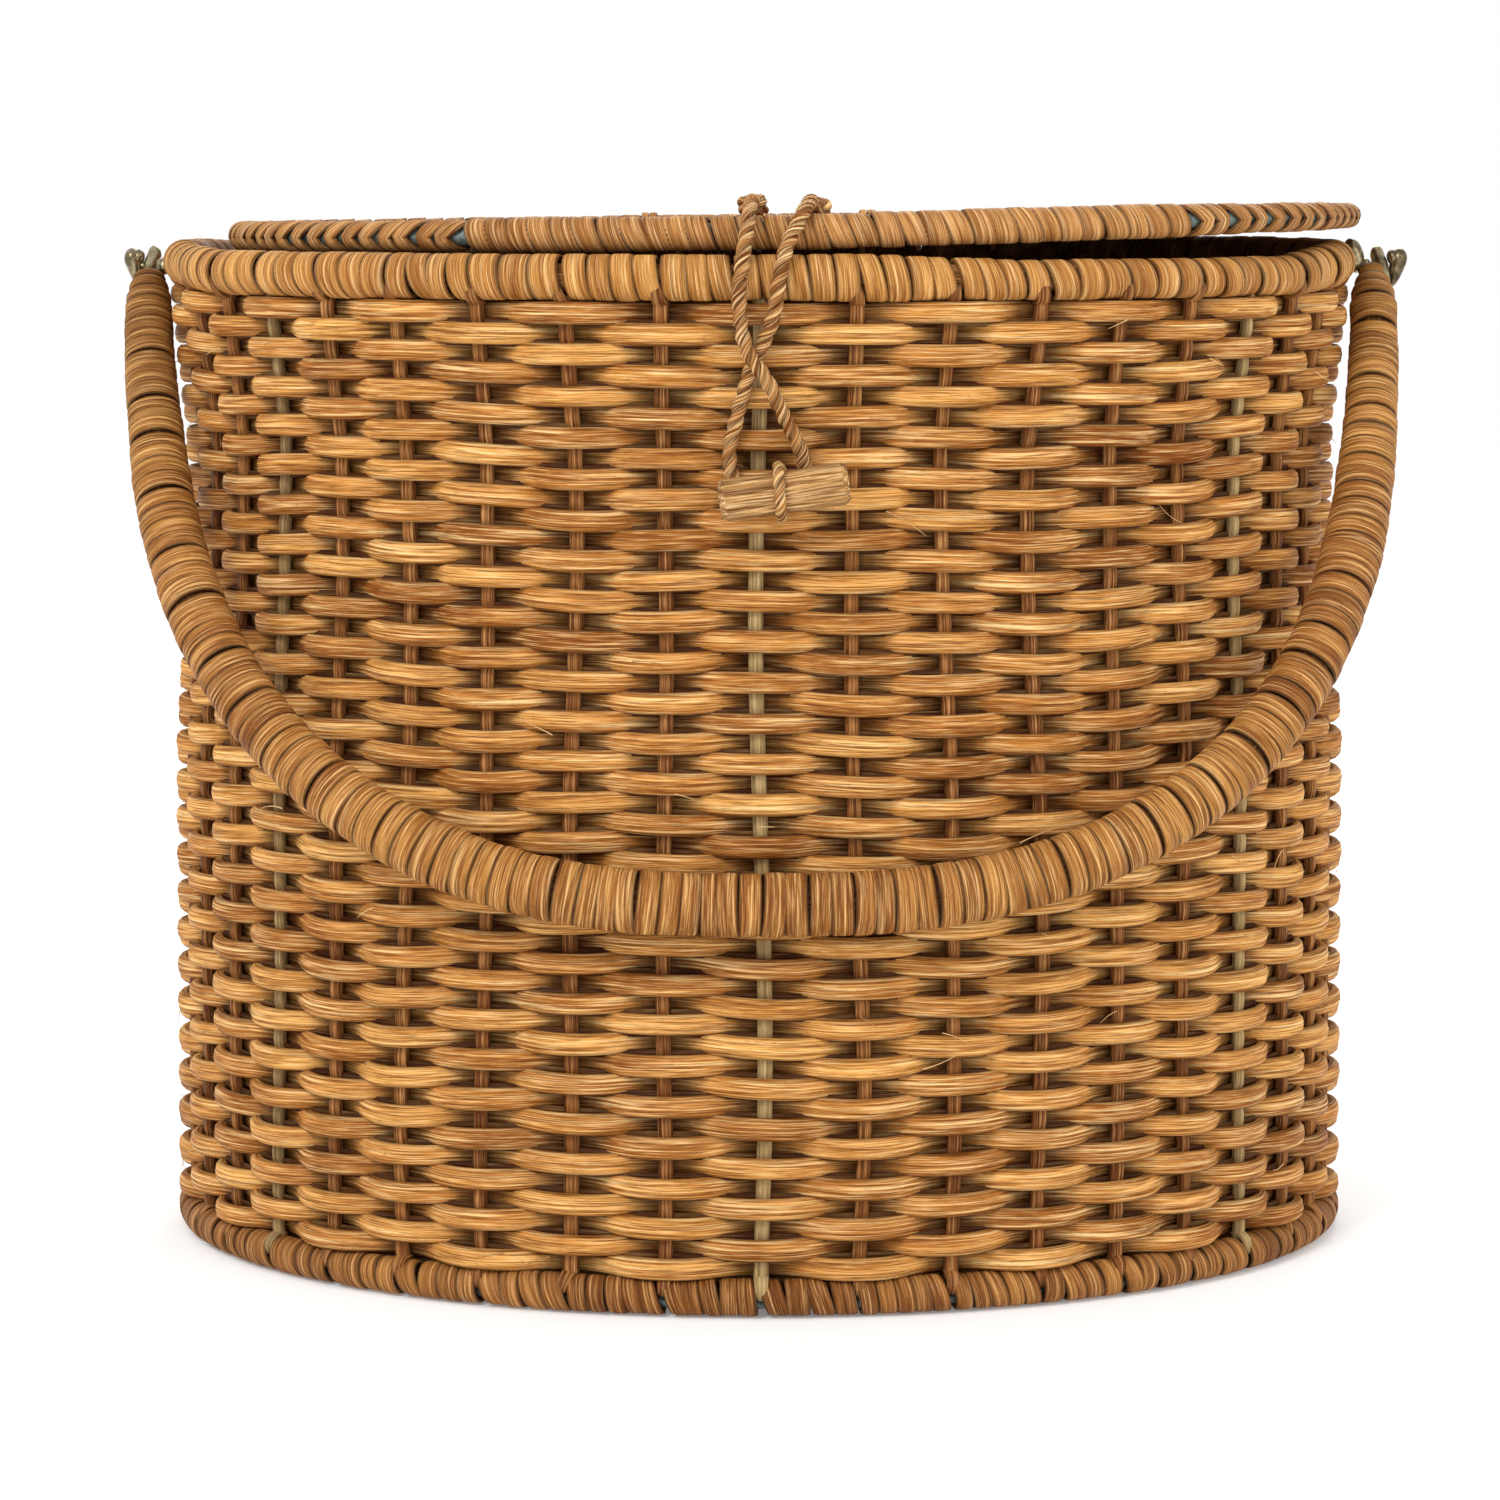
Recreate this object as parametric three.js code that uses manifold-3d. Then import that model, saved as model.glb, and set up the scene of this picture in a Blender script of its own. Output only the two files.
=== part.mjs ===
// Oval wicker sewing basket with a flat hinged lid, a swing handle and a toggle closure.
// Millimetres, +Z up, front towards -Y. Origin: centre of the oval on the underside of the base.
import * as THREE from 'three';
import { mergeVertices } from 'three/addons/utils/BufferGeometryUtils.js';
import Module from 'manifold-3d';

const wasm = await Module();
wasm.setup();

// ---- Driving dimensions -------------------------------------------------------------------
const GAP = 0.3;                    // clearance between touching pieces
const SLOT_PLAY = 0.5;              // each side of the stakes where they enter a wrapped hoop
const HOLE_PLAY = 0.45;             // round a pin, enough for a faceted hole
const OVAL_DIFFERENCE = 48.4;       // long half-axis minus short half-axis of the body's ovals

const STAKE_COUNT = 40;
const STAKE_RADIUS = 2.1;
const CHANNEL_PLAY = 0.35;          // round each stake where it passes through the weave
const FRAME_WIRE_PLACES = [0, 6, 14, 20, 26, 34];   // places of the bound frame wires

const WALL_THICKNESS = 10.5;
const WALL_LEVELS = [               // [height, long half-axis of the outer face]
  [11.1, 180.6], [150, 179.4], [205, 175.8], [245, 174.9], [287.5, 179.4],
];

const BASE_WRAP_RADIUS = 5.4;
const BASE_LINE = 175.6;            // long half-axis of the base hoop's centre line
const BASE_CAVITY_RADIUS = 3.8;     // inside radius of the wrapping
const BASE_HOOP_RADIUS = 1.6;
const BASE_HOOP_RISE = -1.8;        // the hoop lies low, under the feet of the stakes
const BASE_PANEL_THICKNESS = 4.4;

const RIM_WRAP_RADIUS = 6.6;
const RIM_LINE = 174.4;
const RIM_HEIGHT = 294.4;           // height of the rim's centre line
const RIM_CAVITY_RADIUS = 4.7;
const RIM_HOOP_RADIUS = 2.2;
const RIM_HOOP_RISE = 1.9;          // and high in the rim, above their heads

const LID_WRAP_RADIUS = 5.25;
const LID_LONG = 165.75;            // half-axes of the lid hoop's centre line
const LID_SHORT = 119;
const LID_CENTRE = [9, 0, 307.4];
const LID_SKEW = 0.0131;            // the lid sits a little higher on the right
const LID_PANEL_THICKNESS = 4;
const LID_PANEL_INSET = 0.9;        // the panel's edge ends inside the wrapping
const LID_CAVITY_RADIUS = 3.5;
const LID_HOOP_RADIUS = 1.7;
const LID_HOOP_SHIFT = 1.3;         // outwards from the lid hoop's line

const HINGE_PLACES = [-36, 36];
const HINGE_AXIS_Y = 124.6;
const HINGE_RIM_RADIUS = 8.6;       // inside radius of a hinge loop round the rim
const HINGE_LID_RADIUS = 6.2;       // and round the lid's edge
const HINGE_STRAND = [5, 1.5];      // width and thickness of the cane
const HINGE_PLAY = 0.6;             // round a loop where it passes through the weave

const PIVOT_HEIGHT = 295;
const HANDLE_HALF_WIDTH = 187.5;
const HANDLE_DROP = 224.2;          // from the pivot line to the middle of the grip
const HANDLE_REST_ANGLE = THREE.MathUtils.degToRad(39.1);
const HANDLE_END_RADIUS = 6.6;
const HANDLE_GRIP_RADIUS = 9.05;
const HANDLE_TAPER_DROP = 110;
const HANDLE_WRAP_THICKNESS = 1.3;
const HANDLE_START = 5.2;           // where the wrapping starts below the pivot line
const HANDLE_SHAPE = [1 / 1.3, 1 / 1.2];   // powers that square the bow's shoulders
const HANDLE_STEPS = 30;
const PIN_RADIUS = 1.3;
const PIN_FLANGE = [4.2, 1.5];      // radius and thickness
const PIN_HEAD = [3.2, 1.6];
const PIN_TIP = [1.8, 3.2, 3.6];    // radius, and where the head's cone and its tip end
const PIN_PLAY = 0.35;              // between the outer ear and the head
const EAR_RADIUS = 4.5;
const EAR_THICKNESS = 2.7;
const EAR_OFFSET = 2.6;             // from the leg's centre to each ear's centre
const EAR_STEM = 14;
const EAR_HALF_WIDTH = 3;
const BRIDGE_HEIGHT = 3;            // joins the ears at the foot of their stems

const TOGGLE_CENTRE = [6.6, -140.6, 236.2];
const TOGGLE_TILT = THREE.MathUtils.degToRad(8);
const TOGGLE_LENGTH = 36;
const TOGGLE_RADIUS = 5.8;
const TOGGLE_END_RADIUS = 4.4;
const TOGGLE_CHAMFER = 1.8;
const TOGGLE_WAIST = 0.3;
const TIE_RADIUS = 1.65;
const TIE_SHIFT = -1.2;             // from the toggle's middle to its tie
const TIE_STUB_RISE = 1.4;          // the stub leaves the tie a little above its middle
const TIE_STUB_END = -126.9;        // where the stub meets the weave
const LOOP_CORD_RADIUS = 1.85;
const LOOP_STEPS = 40;
const LOOP_ROUTE = [                // from the left knot on the lid, round the tie, to the right knot
  [-2.0, -113.2, 315.0], [-2.3, -118.8, 315.2], [-3.0, -124.7, 313.0], [-3.7, -128.7, 306.8],
  [-4.6, -132.6, 301.0], [-5.6, -135.2, 293.5], [-5.7, -135.7, 286.0], [-5.0, -136.0, 279.5],
  [-2.4, -136.0, 272.6], [2.4, -135.2, 265.4], [7.5, -131.8, 254.5], [11.3, -129.6, 247.0],
  [12.1, -128.9, 240.6], [9.0, -128.9, 234.5], [2.1, -128.9, 232.0], [-4.8, -128.9, 234.5],
  [-8.1, -128.9, 240.8], [-8.2, -129.2, 248.6], [-6.0, -130.0, 257.6], [-4.2, -130.8, 263.6],
  [-2.5, -131.5, 269.8], [0.9, -132.6, 276.8], [3.5, -134.0, 284.0], [5.0, -135.3, 292.0],
  [6.6, -133.0, 300.8], [9.0, -128.8, 306.6], [12.0, -124.5, 312.6], [14.0, -118.8, 315.1],
  [14.6, -113.4, 314.9],
];

const RATTAN = { color: 0xb8813f, roughness: 0.6, metalness: 0 };
const CANE_BINDING = { color: 0xa66f33, roughness: 0.5, metalness: 0 };
const BOUND_WIRE = { color: 0xb9ab80, roughness: 0.7, metalness: 0 };
const STEEL_WIRE = { color: 0x6f7a78, roughness: 0.45, metalness: 0.9 };
const BRASS = { color: 0x8a7346, roughness: 0.35, metalness: 1 };
const CORD = { color: 0xb07a42, roughness: 0.9, metalness: 0 };
const TWIG = { color: 0x9a6a35, roughness: 0.8, metalness: 0 };

// ---- Solids from rows of points -------------------------------------------------------------
function solidFromTriangles(points, triangles) {
  let volume = 0;
  for (const [i, j, k] of triangles) {
    volume += points[i].dot(new THREE.Vector3().crossVectors(points[j], points[k]));
  }
  const facing = volume > 0 ? triangles : triangles.map(([i, j, k]) => [i, k, j]);
  return geometryOf(points.flatMap((point) => point.toArray()), facing.flat());
}

function geometryOf(positions, index) {
  const geometry = new THREE.BufferGeometry();
  geometry.setAttribute('position', new THREE.Float32BufferAttribute(positions, 3));
  geometry.setIndex(index);
  geometry.computeVertexNormals();
  return geometry;
}

// Joins rows of points, each row a closed ring. The rows also close on themselves, or get caps.
function ringedSolid(rows, rowsClose) {
  const count = rows[0].length;
  const points = rows.flat();
  const triangles = [];
  const at = (row, column) => (row % rows.length) * count + (column % count);
  for (let row = 0; row < rows.length - (rowsClose ? 0 : 1); row++) {
    for (let column = 0; column < count; column++) {
      triangles.push([at(row, column), at(row + 1, column), at(row + 1, column + 1)]);
      triangles.push([at(row, column), at(row + 1, column + 1), at(row, column + 1)]);
    }
  }
  if (!rowsClose) {
    for (let column = 1; column < count - 1; column++) {
      triangles.push([at(0, 0), at(0, column), at(0, column + 1)]);
      const last = rows.length - 1;
      triangles.push([at(last, 0), at(last, column + 1), at(last, column)]);
    }
  }
  return solidFromTriangles(points, triangles);
}

function toManifold(geometry) {
  const bare = geometry.clone();
  bare.deleteAttribute('normal');
  bare.deleteAttribute('uv');
  const merged = mergeVertices(bare, 1e-4);
  return new wasm.Manifold(new wasm.Mesh({
    numProp: 3,
    vertProperties: new Float32Array(merged.attributes.position.array),
    triVerts: new Uint32Array(merged.index.array),
  }));
}

function fromManifold(solid) {
  const mesh = solid.getMesh();
  return geometryOf(mesh.vertProperties, [...mesh.triVerts]);
}

function cut(geometry, tools) {
  const solid = tools.reduce((left, tool) => left.subtract(toManifold(tool)), toManifold(geometry));
  return fromManifold(solid);
}

function join(geometries) {
  return fromManifold(geometries.map(toManifold).reduce((solid, other) => solid.add(other)));
}

function boxBetween(low, high) {
  const size = high.map((value, axis) => value - low[axis]);
  const geometry = new THREE.BoxGeometry(...size);
  return geometry.translate(...low.map((value, axis) => value + size[axis] / 2));
}

function cylinderAlongX(radius, from, to, sides = 8) {
  const geometry = new THREE.CylinderGeometry(radius, radius, to - from, sides);
  return geometry.rotateZ(Math.PI / 2).translate((from + to) / 2, 0, 0);
}

// ---- Ovals ---------------------------------------------------------------------------------
// Angle 0 is the middle of the front, a quarter turn is the right-hand end.
function ovalPoint(long, short, angle, height) {
  return new THREE.Vector3(long * Math.sin(angle), -short * Math.cos(angle), height);
}

function stakeAngle(place) {
  return (place * 2 * Math.PI) / STAKE_COUNT;
}

function stakePlaces() {
  return Array.from({ length: STAKE_COUNT }, (_, place) => place);
}

// Sweeps a section of [outward, up] points round an oval.
function ovalRing(long, short, height, section) {
  const rowAt = (angle) => section.map(([out, up]) => ovalPoint(long + out, short + out, angle, height + up));
  return ringedSolid(stakePlaces().map((place) => rowAt(stakeAngle(place))), true);
}

function roundSection(radius, sides, rise = 0, out = 0) {
  return Array.from({ length: sides }, (_, side) => {
    const angle = (side * 2 * Math.PI) / sides;
    return [out + radius * Math.cos(angle), rise + radius * Math.sin(angle)];
  });
}

// A thick C: a ring section with a slot, facing the given direction.
function slottedSection(radius, cavity, halfSlot, facing) {
  const arc = (size, steps) => {
    const start = Math.asin(halfSlot / size);
    return Array.from({ length: steps }, (_, step) => {
      const angle = facing + start + ((2 * Math.PI - 2 * start) * step) / (steps - 1);
      return [size * Math.cos(angle), size * Math.sin(angle)];
    });
  };
  return [...arc(radius, 8), ...arc(cavity, 5).reverse()];
}

function ovalPanel(long, short, bottom, thickness) {
  const row = (height) => stakePlaces().map((place) => ovalPoint(long, short, stakeAngle(place), height));
  return ringedSolid([row(bottom), row(bottom + thickness)], false);
}

// ---- Body ----------------------------------------------------------------------------------
const UP = Math.PI / 2;
const DOWN = -Math.PI / 2;
const INWARD = Math.PI;

function wallLine(outerLong) {
  return outerLong - WALL_THICKNESS / 2;
}

function wallPanel() {
  const face = (shift) => WALL_LEVELS.map(([height, long]) => [wallLine(long) + shift, height]);
  const profile = [...face(WALL_THICKNESS / 2), ...face(-WALL_THICKNESS / 2).reverse()];
  const rowAt = (angle) => profile.map(([long, height]) =>
    ovalPoint(long, long - OVAL_DIFFERENCE, angle, height));
  return ringedSolid(stakePlaces().map((place) => rowAt(stakeAngle(place))), true);
}

// An upright rod that follows the wall's line at one place.
function uprightRod(place, radius, sides, levels) {
  const angle = stakeAngle(place);
  const outward = new THREE.Vector3(Math.sin(angle), -Math.cos(angle), 0);
  const along = new THREE.Vector3(Math.cos(angle), Math.sin(angle), 0);
  const turn = Math.PI / sides;
  const rows = levels.map(([height, long]) => {
    const centre = ovalPoint(wallLine(long), wallLine(long) - OVAL_DIFFERENCE, angle, height);
    return Array.from({ length: sides }, (_, side) => {
      const around = turn + (side * 2 * Math.PI) / sides;
      return centre.clone()
        .addScaledVector(outward, radius * Math.cos(around))
        .addScaledVector(along, radius * Math.sin(around));
    });
  });
  return ringedSolid(rows, false);
}

function levelsBetween(bottom, top) {
  const inner = WALL_LEVELS.slice(1, -1);
  const lowest = WALL_LEVELS[0];
  const highest = WALL_LEVELS[WALL_LEVELS.length - 1];
  return [[bottom, lowest[1]], ...inner, [top, highest[1]]];
}

function wallWeave() {
  const channelRadius = (STAKE_RADIUS + CHANNEL_PLAY) * Math.SQRT2;
  const past = levelsBetween(WALL_LEVELS[0][0] - 1, WALL_LEVELS[WALL_LEVELS.length - 1][0] + 1);
  const channels = stakePlaces().map((place) => uprightRod(place, channelRadius, 4, past));
  const depth = HINGE_RIM_RADIUS + HINGE_STRAND[1] + HINGE_PLAY;
  const halfWidth = HINGE_STRAND[0] / 2 + HINGE_PLAY;
  const notches = HINGE_PLACES.map((x) => boxBetween(
    [x - halfWidth, HINGE_AXIS_Y - 2 * depth, RIM_HEIGHT - depth],
    [x + halfWidth, HINGE_AXIS_Y + 2 * depth, RIM_HEIGHT]));
  return cut(wallPanel(), [...channels, ...notches]);
}

function stakeLevels() {
  const bottom = BASE_WRAP_RADIUS + 0.2;
  const top = RIM_HEIGHT + RIM_HOOP_RISE - RIM_HOOP_RADIUS - GAP;
  return levelsBetween(bottom, top);
}

function rimWrap() {
  const section = slottedSection(RIM_WRAP_RADIUS, RIM_CAVITY_RADIUS, STAKE_RADIUS + SLOT_PLAY, DOWN);
  const ring = ovalRing(RIM_LINE, RIM_LINE - OVAL_DIFFERENCE, RIM_HEIGHT, section);
  const reach = RIM_LINE + RIM_WRAP_RADIUS + 1;
  const holes = [-1, 1].map((side) =>
    cylinderAlongX(PIN_RADIUS + HOLE_PLAY, RIM_LINE, reach)
      .rotateZ(side > 0 ? 0 : Math.PI).translate(0, 0, PIVOT_HEIGHT));
  return cut(ring, holes);
}

// ---- Lid -----------------------------------------------------------------------------------
function lidWeave() {
  const long = LID_LONG - LID_PANEL_INSET;
  const short = LID_SHORT - LID_PANEL_INSET;
  const panel = ovalPanel(long, short, -LID_PANEL_THICKNESS / 2, LID_PANEL_THICKNESS);
  const notches = HINGE_PLACES.map((place) => {
    const x = place - LID_CENTRE[0];
    const edge = LID_SHORT * Math.sqrt(1 - (x / LID_LONG) ** 2);
    const reach = HINGE_LID_RADIUS + HINGE_STRAND[1] + HINGE_PLAY;
    const halfWidth = HINGE_STRAND[0] / 2 + HINGE_PLAY;
    return boxBetween([x - halfWidth, edge - reach, -reach], [x + halfWidth, edge + reach, reach]);
  });
  return cut(panel, notches);
}

// Outline round two circles of a line that starts at the origin and ends at the far centre.
function beltOutline(Path, far, nearRadius, farRadius) {
  const distance = far.length();
  const heading = Math.atan2(far.y, far.x);
  const spread = Math.acos((nearRadius - farRadius) / distance);
  const outline = new Path();
  outline.absarc(0, 0, nearRadius, heading + spread, heading - spread + 2 * Math.PI, false);
  outline.absarc(far.x, far.y, farRadius, heading - spread, heading + spread, false);
  return outline;
}

// A cane loop round the rim and the lid's back edge, drawn in the Y-Z plane.
function hingeLoop(place) {
  const x = place - LID_CENTRE[0];
  const lidY = LID_SHORT * Math.sqrt(1 - (x / LID_LONG) ** 2);
  const lidHeight = LID_CENTRE[2] + x * LID_SKEW;
  const far = new THREE.Vector2(lidY - HINGE_AXIS_Y, lidHeight - RIM_HEIGHT);
  const [width, thickness] = HINGE_STRAND;
  const shape = beltOutline(THREE.Shape, far, HINGE_RIM_RADIUS + thickness, HINGE_LID_RADIUS + thickness);
  shape.holes.push(beltOutline(THREE.Path, far, HINGE_RIM_RADIUS, HINGE_LID_RADIUS));
  const extent = { depth: width, bevelEnabled: false, curveSegments: 8 };
  const geometry = new THREE.ExtrudeGeometry(shape, extent);
  geometry.rotateX(Math.PI / 2).rotateZ(Math.PI / 2);
  return geometry.translate(place - width / 2, HINGE_AXIS_Y, RIM_HEIGHT);
}

// ---- Handle, drawn hanging straight down from the pivot line --------------------------------
class HandleCurve extends THREE.Curve {
  getPoint(t, target = new THREE.Vector3()) {
    const [acrossPower, downPower] = HANDLE_SHAPE;
    const start = Math.asin((HANDLE_START / HANDLE_DROP) ** (1 / downPower));
    const angle = start + t * (Math.PI - 2 * start);
    const across = -Math.sign(Math.cos(angle)) * Math.abs(Math.cos(angle)) ** acrossPower;
    const down = Math.sin(angle) ** downPower;
    return target.set(across * HANDLE_HALF_WIDTH, 0, -down * HANDLE_DROP);
  }
}

function handleStations() {
  const curve = new HandleCurve();
  curve.arcLengthDivisions = 800;
  const points = curve.getSpacedPoints(HANDLE_STEPS);
  return points.map((centre, index) => {
    const before = points[Math.max(index - 1, 0)];
    const after = points[Math.min(index + 1, points.length - 1)];
    const along = after.clone().sub(before).normalize();
    const share = THREE.MathUtils.smoothstep(-centre.z, 0, HANDLE_TAPER_DROP);
    const radius = THREE.MathUtils.lerp(HANDLE_END_RADIUS, HANDLE_GRIP_RADIUS, share);
    return { centre, side: new THREE.Vector3(-along.z, 0, along.x), radius };
  });
}

function stationRing({ centre, side, radius }, inset) {
  const sides = 8;
  return Array.from({ length: sides }, (_, index) => {
    const angle = ((index + 0.5) * 2 * Math.PI) / sides;
    return centre.clone()
      .addScaledVector(side, (radius - inset) * Math.cos(angle))
      .add(new THREE.Vector3(0, (radius - inset) * Math.sin(angle), 0));
  });
}

function handleWrap() {
  const stations = handleStations();
  const outside = stations.map((station) => stationRing(station, 0));
  const inside = stations.map((station) => stationRing(station, HANDLE_WRAP_THICKNESS)).reverse();
  return ringedSolid([...outside, ...inside], true);
}

function handleCore() {
  const inset = HANDLE_WRAP_THICKNESS + GAP + 0.1;
  const rows = handleStations().slice(1, -1).map((station) => stationRing(station, inset));
  return ringedSolid(rows, false);
}

// Two round-topped ears on a bridge, with the pin's hole through both.
function handleFork(side) {
  const barBetween = (from, to, top) =>
    boxBetween([from, -EAR_HALF_WIDTH, -EAR_STEM], [to, EAR_HALF_WIDTH, top]);
  const ears = [-EAR_OFFSET, EAR_OFFSET].flatMap((offset) => {
    const from = offset - EAR_THICKNESS / 2;
    const to = offset + EAR_THICKNESS / 2;
    return [cylinderAlongX(EAR_RADIUS, from, to, 14), barBetween(from, to, 0)];
  });
  const reach = EAR_OFFSET + EAR_THICKNESS / 2;
  const bridge = barBetween(-reach, reach, -EAR_STEM + BRIDGE_HEIGHT);
  const hole = cylinderAlongX(PIN_RADIUS + HOLE_PLAY, -2 * reach, 2 * reach, 10);
  return cut(join([...ears, bridge]), [hole]).translate(side * HANDLE_HALF_WIDTH, 0, 0);
}

// A turned pin: shank in the rim, flange against it, head outside the fork.
function pivotPin(side) {
  const inner = RIM_LINE + RIM_HOOP_RADIUS + SLOT_PLAY;
  const flange = RIM_LINE + RIM_WRAP_RADIUS + GAP + 0.1;
  const [flangeRadius, flangeThickness] = PIN_FLANGE;
  const flangeEnd = flange + flangeThickness;
  const [headRadius, headThickness] = PIN_HEAD;
  const head = HANDLE_HALF_WIDTH + EAR_OFFSET + EAR_THICKNESS / 2 + PIN_PLAY;
  const [tipRadius, coneEnd, tipEnd] = PIN_TIP;
  const profile = [
    [0, inner], [PIN_RADIUS, inner], [PIN_RADIUS, flange], [flangeRadius, flange],
    [flangeRadius, flangeEnd], [PIN_RADIUS, flangeEnd], [PIN_RADIUS, head], [headRadius, head],
    [headRadius, head + headThickness], [tipRadius, head + coneEnd], [0, head + tipEnd],
  ].map(([radius, along]) => new THREE.Vector2(radius, along));
  const geometry = new THREE.LatheGeometry(profile, 12);
  return geometry.rotateZ(side > 0 ? -Math.PI / 2 : Math.PI / 2).translate(0, 0, PIVOT_HEIGHT);
}

// ---- Closure -------------------------------------------------------------------------------
function toggleStick() {
  const end = TOGGLE_LENGTH / 2;
  const profile = [
    [0, -end], [TOGGLE_END_RADIUS, -end], [TOGGLE_RADIUS, -end + TOGGLE_CHAMFER],
    [TOGGLE_RADIUS - TOGGLE_WAIST, 0],
    [TOGGLE_RADIUS, end - TOGGLE_CHAMFER], [TOGGLE_END_RADIUS, end], [0, end],
  ].map(([radius, along]) => new THREE.Vector2(radius, along));
  const geometry = new THREE.LatheGeometry(profile, 12);
  return geometry.rotateZ(Math.PI / 2).rotateY(-TOGGLE_TILT).translate(...TOGGLE_CENTRE);
}

function tieCentre() {
  return [
    TOGGLE_CENTRE[0] + TIE_SHIFT * Math.cos(TOGGLE_TILT),
    TOGGLE_CENTRE[1],
    TOGGLE_CENTRE[2] + TIE_SHIFT * Math.sin(TOGGLE_TILT),
  ];
}

// One turn of cord round the stick, with a stub that reaches back to the weave.
function toggleTie() {
  const turnRadius = TOGGLE_RADIUS + TIE_RADIUS + 0.4;
  const [x, y, z] = tieCentre();
  const turn = new THREE.TorusGeometry(turnRadius, TIE_RADIUS, 8, 18);
  turn.rotateY(Math.PI / 2 - TOGGLE_TILT).translate(x, y, z);
  const stubLength = TIE_STUB_END - y - turnRadius;
  const stub = new THREE.CylinderGeometry(TIE_RADIUS, TIE_RADIUS, stubLength, 8);
  stub.translate(x, y + turnRadius + stubLength / 2, z + TIE_STUB_RISE);
  return join([turn, stub]);
}

function closureLoop() {
  const path = new THREE.CatmullRomCurve3(LOOP_ROUTE.map((point) => new THREE.Vector3(...point)));
  const outline = roundSection(LOOP_CORD_RADIUS, 8).map(([x, y]) => new THREE.Vector2(x, y));
  const extent = { steps: LOOP_STEPS, bevelEnabled: false, extrudePath: path };
  return new THREE.ExtrudeGeometry(new THREE.Shape(outline), extent);
}

// ---- Assembly ------------------------------------------------------------------------------
function piece(name, geometry, look) {
  const mesh = new THREE.Mesh(geometry, new THREE.MeshStandardMaterial(look));
  mesh.name = name;
  return mesh;
}

function uprights() {
  return stakePlaces().map((place) => {
    const wire = FRAME_WIRE_PLACES.indexOf(place);
    const name = wire < 0 ? `stake_${String(place).padStart(2, '0')}` : `frame_wire_${wire + 1}`;
    const rod = uprightRod(place, STAKE_RADIUS, 6, stakeLevels());
    return piece(name, rod, wire < 0 ? RATTAN : BOUND_WIRE);
  });
}

function basePieces() {
  const short = BASE_LINE - OVAL_DIFFERENCE;
  const inset = BASE_WRAP_RADIUS + GAP + 0.1;
  const panel = ovalPanel(BASE_LINE - inset, short - inset, 0, BASE_PANEL_THICKNESS);
  const wrap = slottedSection(BASE_WRAP_RADIUS, BASE_CAVITY_RADIUS, STAKE_RADIUS + SLOT_PLAY + 0.1, UP);
  const hoop = roundSection(BASE_HOOP_RADIUS, 5, BASE_HOOP_RISE);
  return [
    piece('base_weave', panel, RATTAN),
    piece('base_rim_wrap', ovalRing(BASE_LINE, short, BASE_WRAP_RADIUS, wrap), CANE_BINDING),
    piece('base_hoop', ovalRing(BASE_LINE, short, BASE_WRAP_RADIUS, hoop), STEEL_WIRE),
  ];
}

function rimPieces() {
  const hoop = roundSection(RIM_HOOP_RADIUS, 5, RIM_HOOP_RISE);
  return [
    piece('rim_wrap', rimWrap(), CANE_BINDING),
    piece('rim_hoop', ovalRing(RIM_LINE, RIM_LINE - OVAL_DIFFERENCE, RIM_HEIGHT, hoop), STEEL_WIRE),
    piece('pivot_pin_left', pivotPin(-1), BRASS),
    piece('pivot_pin_right', pivotPin(1), BRASS),
  ];
}

function lidPieces() {
  const lid = new THREE.Group();
  lid.position.set(...LID_CENTRE);
  lid.rotation.y = -LID_SKEW;
  const wrap = slottedSection(LID_WRAP_RADIUS, LID_CAVITY_RADIUS, LID_PANEL_THICKNESS / 2 + GAP, INWARD);
  const hoop = roundSection(LID_HOOP_RADIUS, 5, 0, LID_HOOP_SHIFT);
  lid.add(
    piece('lid_weave', lidWeave(), RATTAN),
    piece('lid_rim_wrap', ovalRing(LID_LONG, LID_SHORT, 0, wrap), CANE_BINDING),
    piece('lid_hoop', ovalRing(LID_LONG, LID_SHORT, 0, hoop), STEEL_WIRE),
  );
  return [
    lid,
    piece('hinge_loop_left', hingeLoop(HINGE_PLACES[0]), CANE_BINDING),
    piece('hinge_loop_right', hingeLoop(HINGE_PLACES[1]), CANE_BINDING),
  ];
}

function handlePieces() {
  const handle = new THREE.Group();
  handle.position.z = PIVOT_HEIGHT;
  handle.rotation.x = -HANDLE_REST_ANGLE;
  handle.add(
    piece('handle_wrap', handleWrap(), CANE_BINDING),
    piece('handle_core', handleCore(), RATTAN),
    piece('handle_fork_left', handleFork(-1), BRASS),
    piece('handle_fork_right', handleFork(1), BRASS),
  );
  return handle;
}

const basket = new THREE.Group();
basket.add(
  ...basePieces(),
  piece('wall_weave', wallWeave(), RATTAN),
  ...rimPieces(),
  ...uprights(),
  ...lidPieces(),
  handlePieces(),
  piece('toggle', toggleStick(), TWIG),
  piece('toggle_tie', toggleTie(), CORD),
  piece('closure_loop', closureLoop(), CORD),
);

export default basket;
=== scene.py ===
"""Looks of an oval wicker sewing basket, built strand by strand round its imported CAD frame.

Metres, +Z up, front towards -Y. Most sizes that the CAD part also has keep their names from there.
The tie's radius, the radius of the handle's ends and where its binding starts differ from the CAD's.
"""

import math

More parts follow.
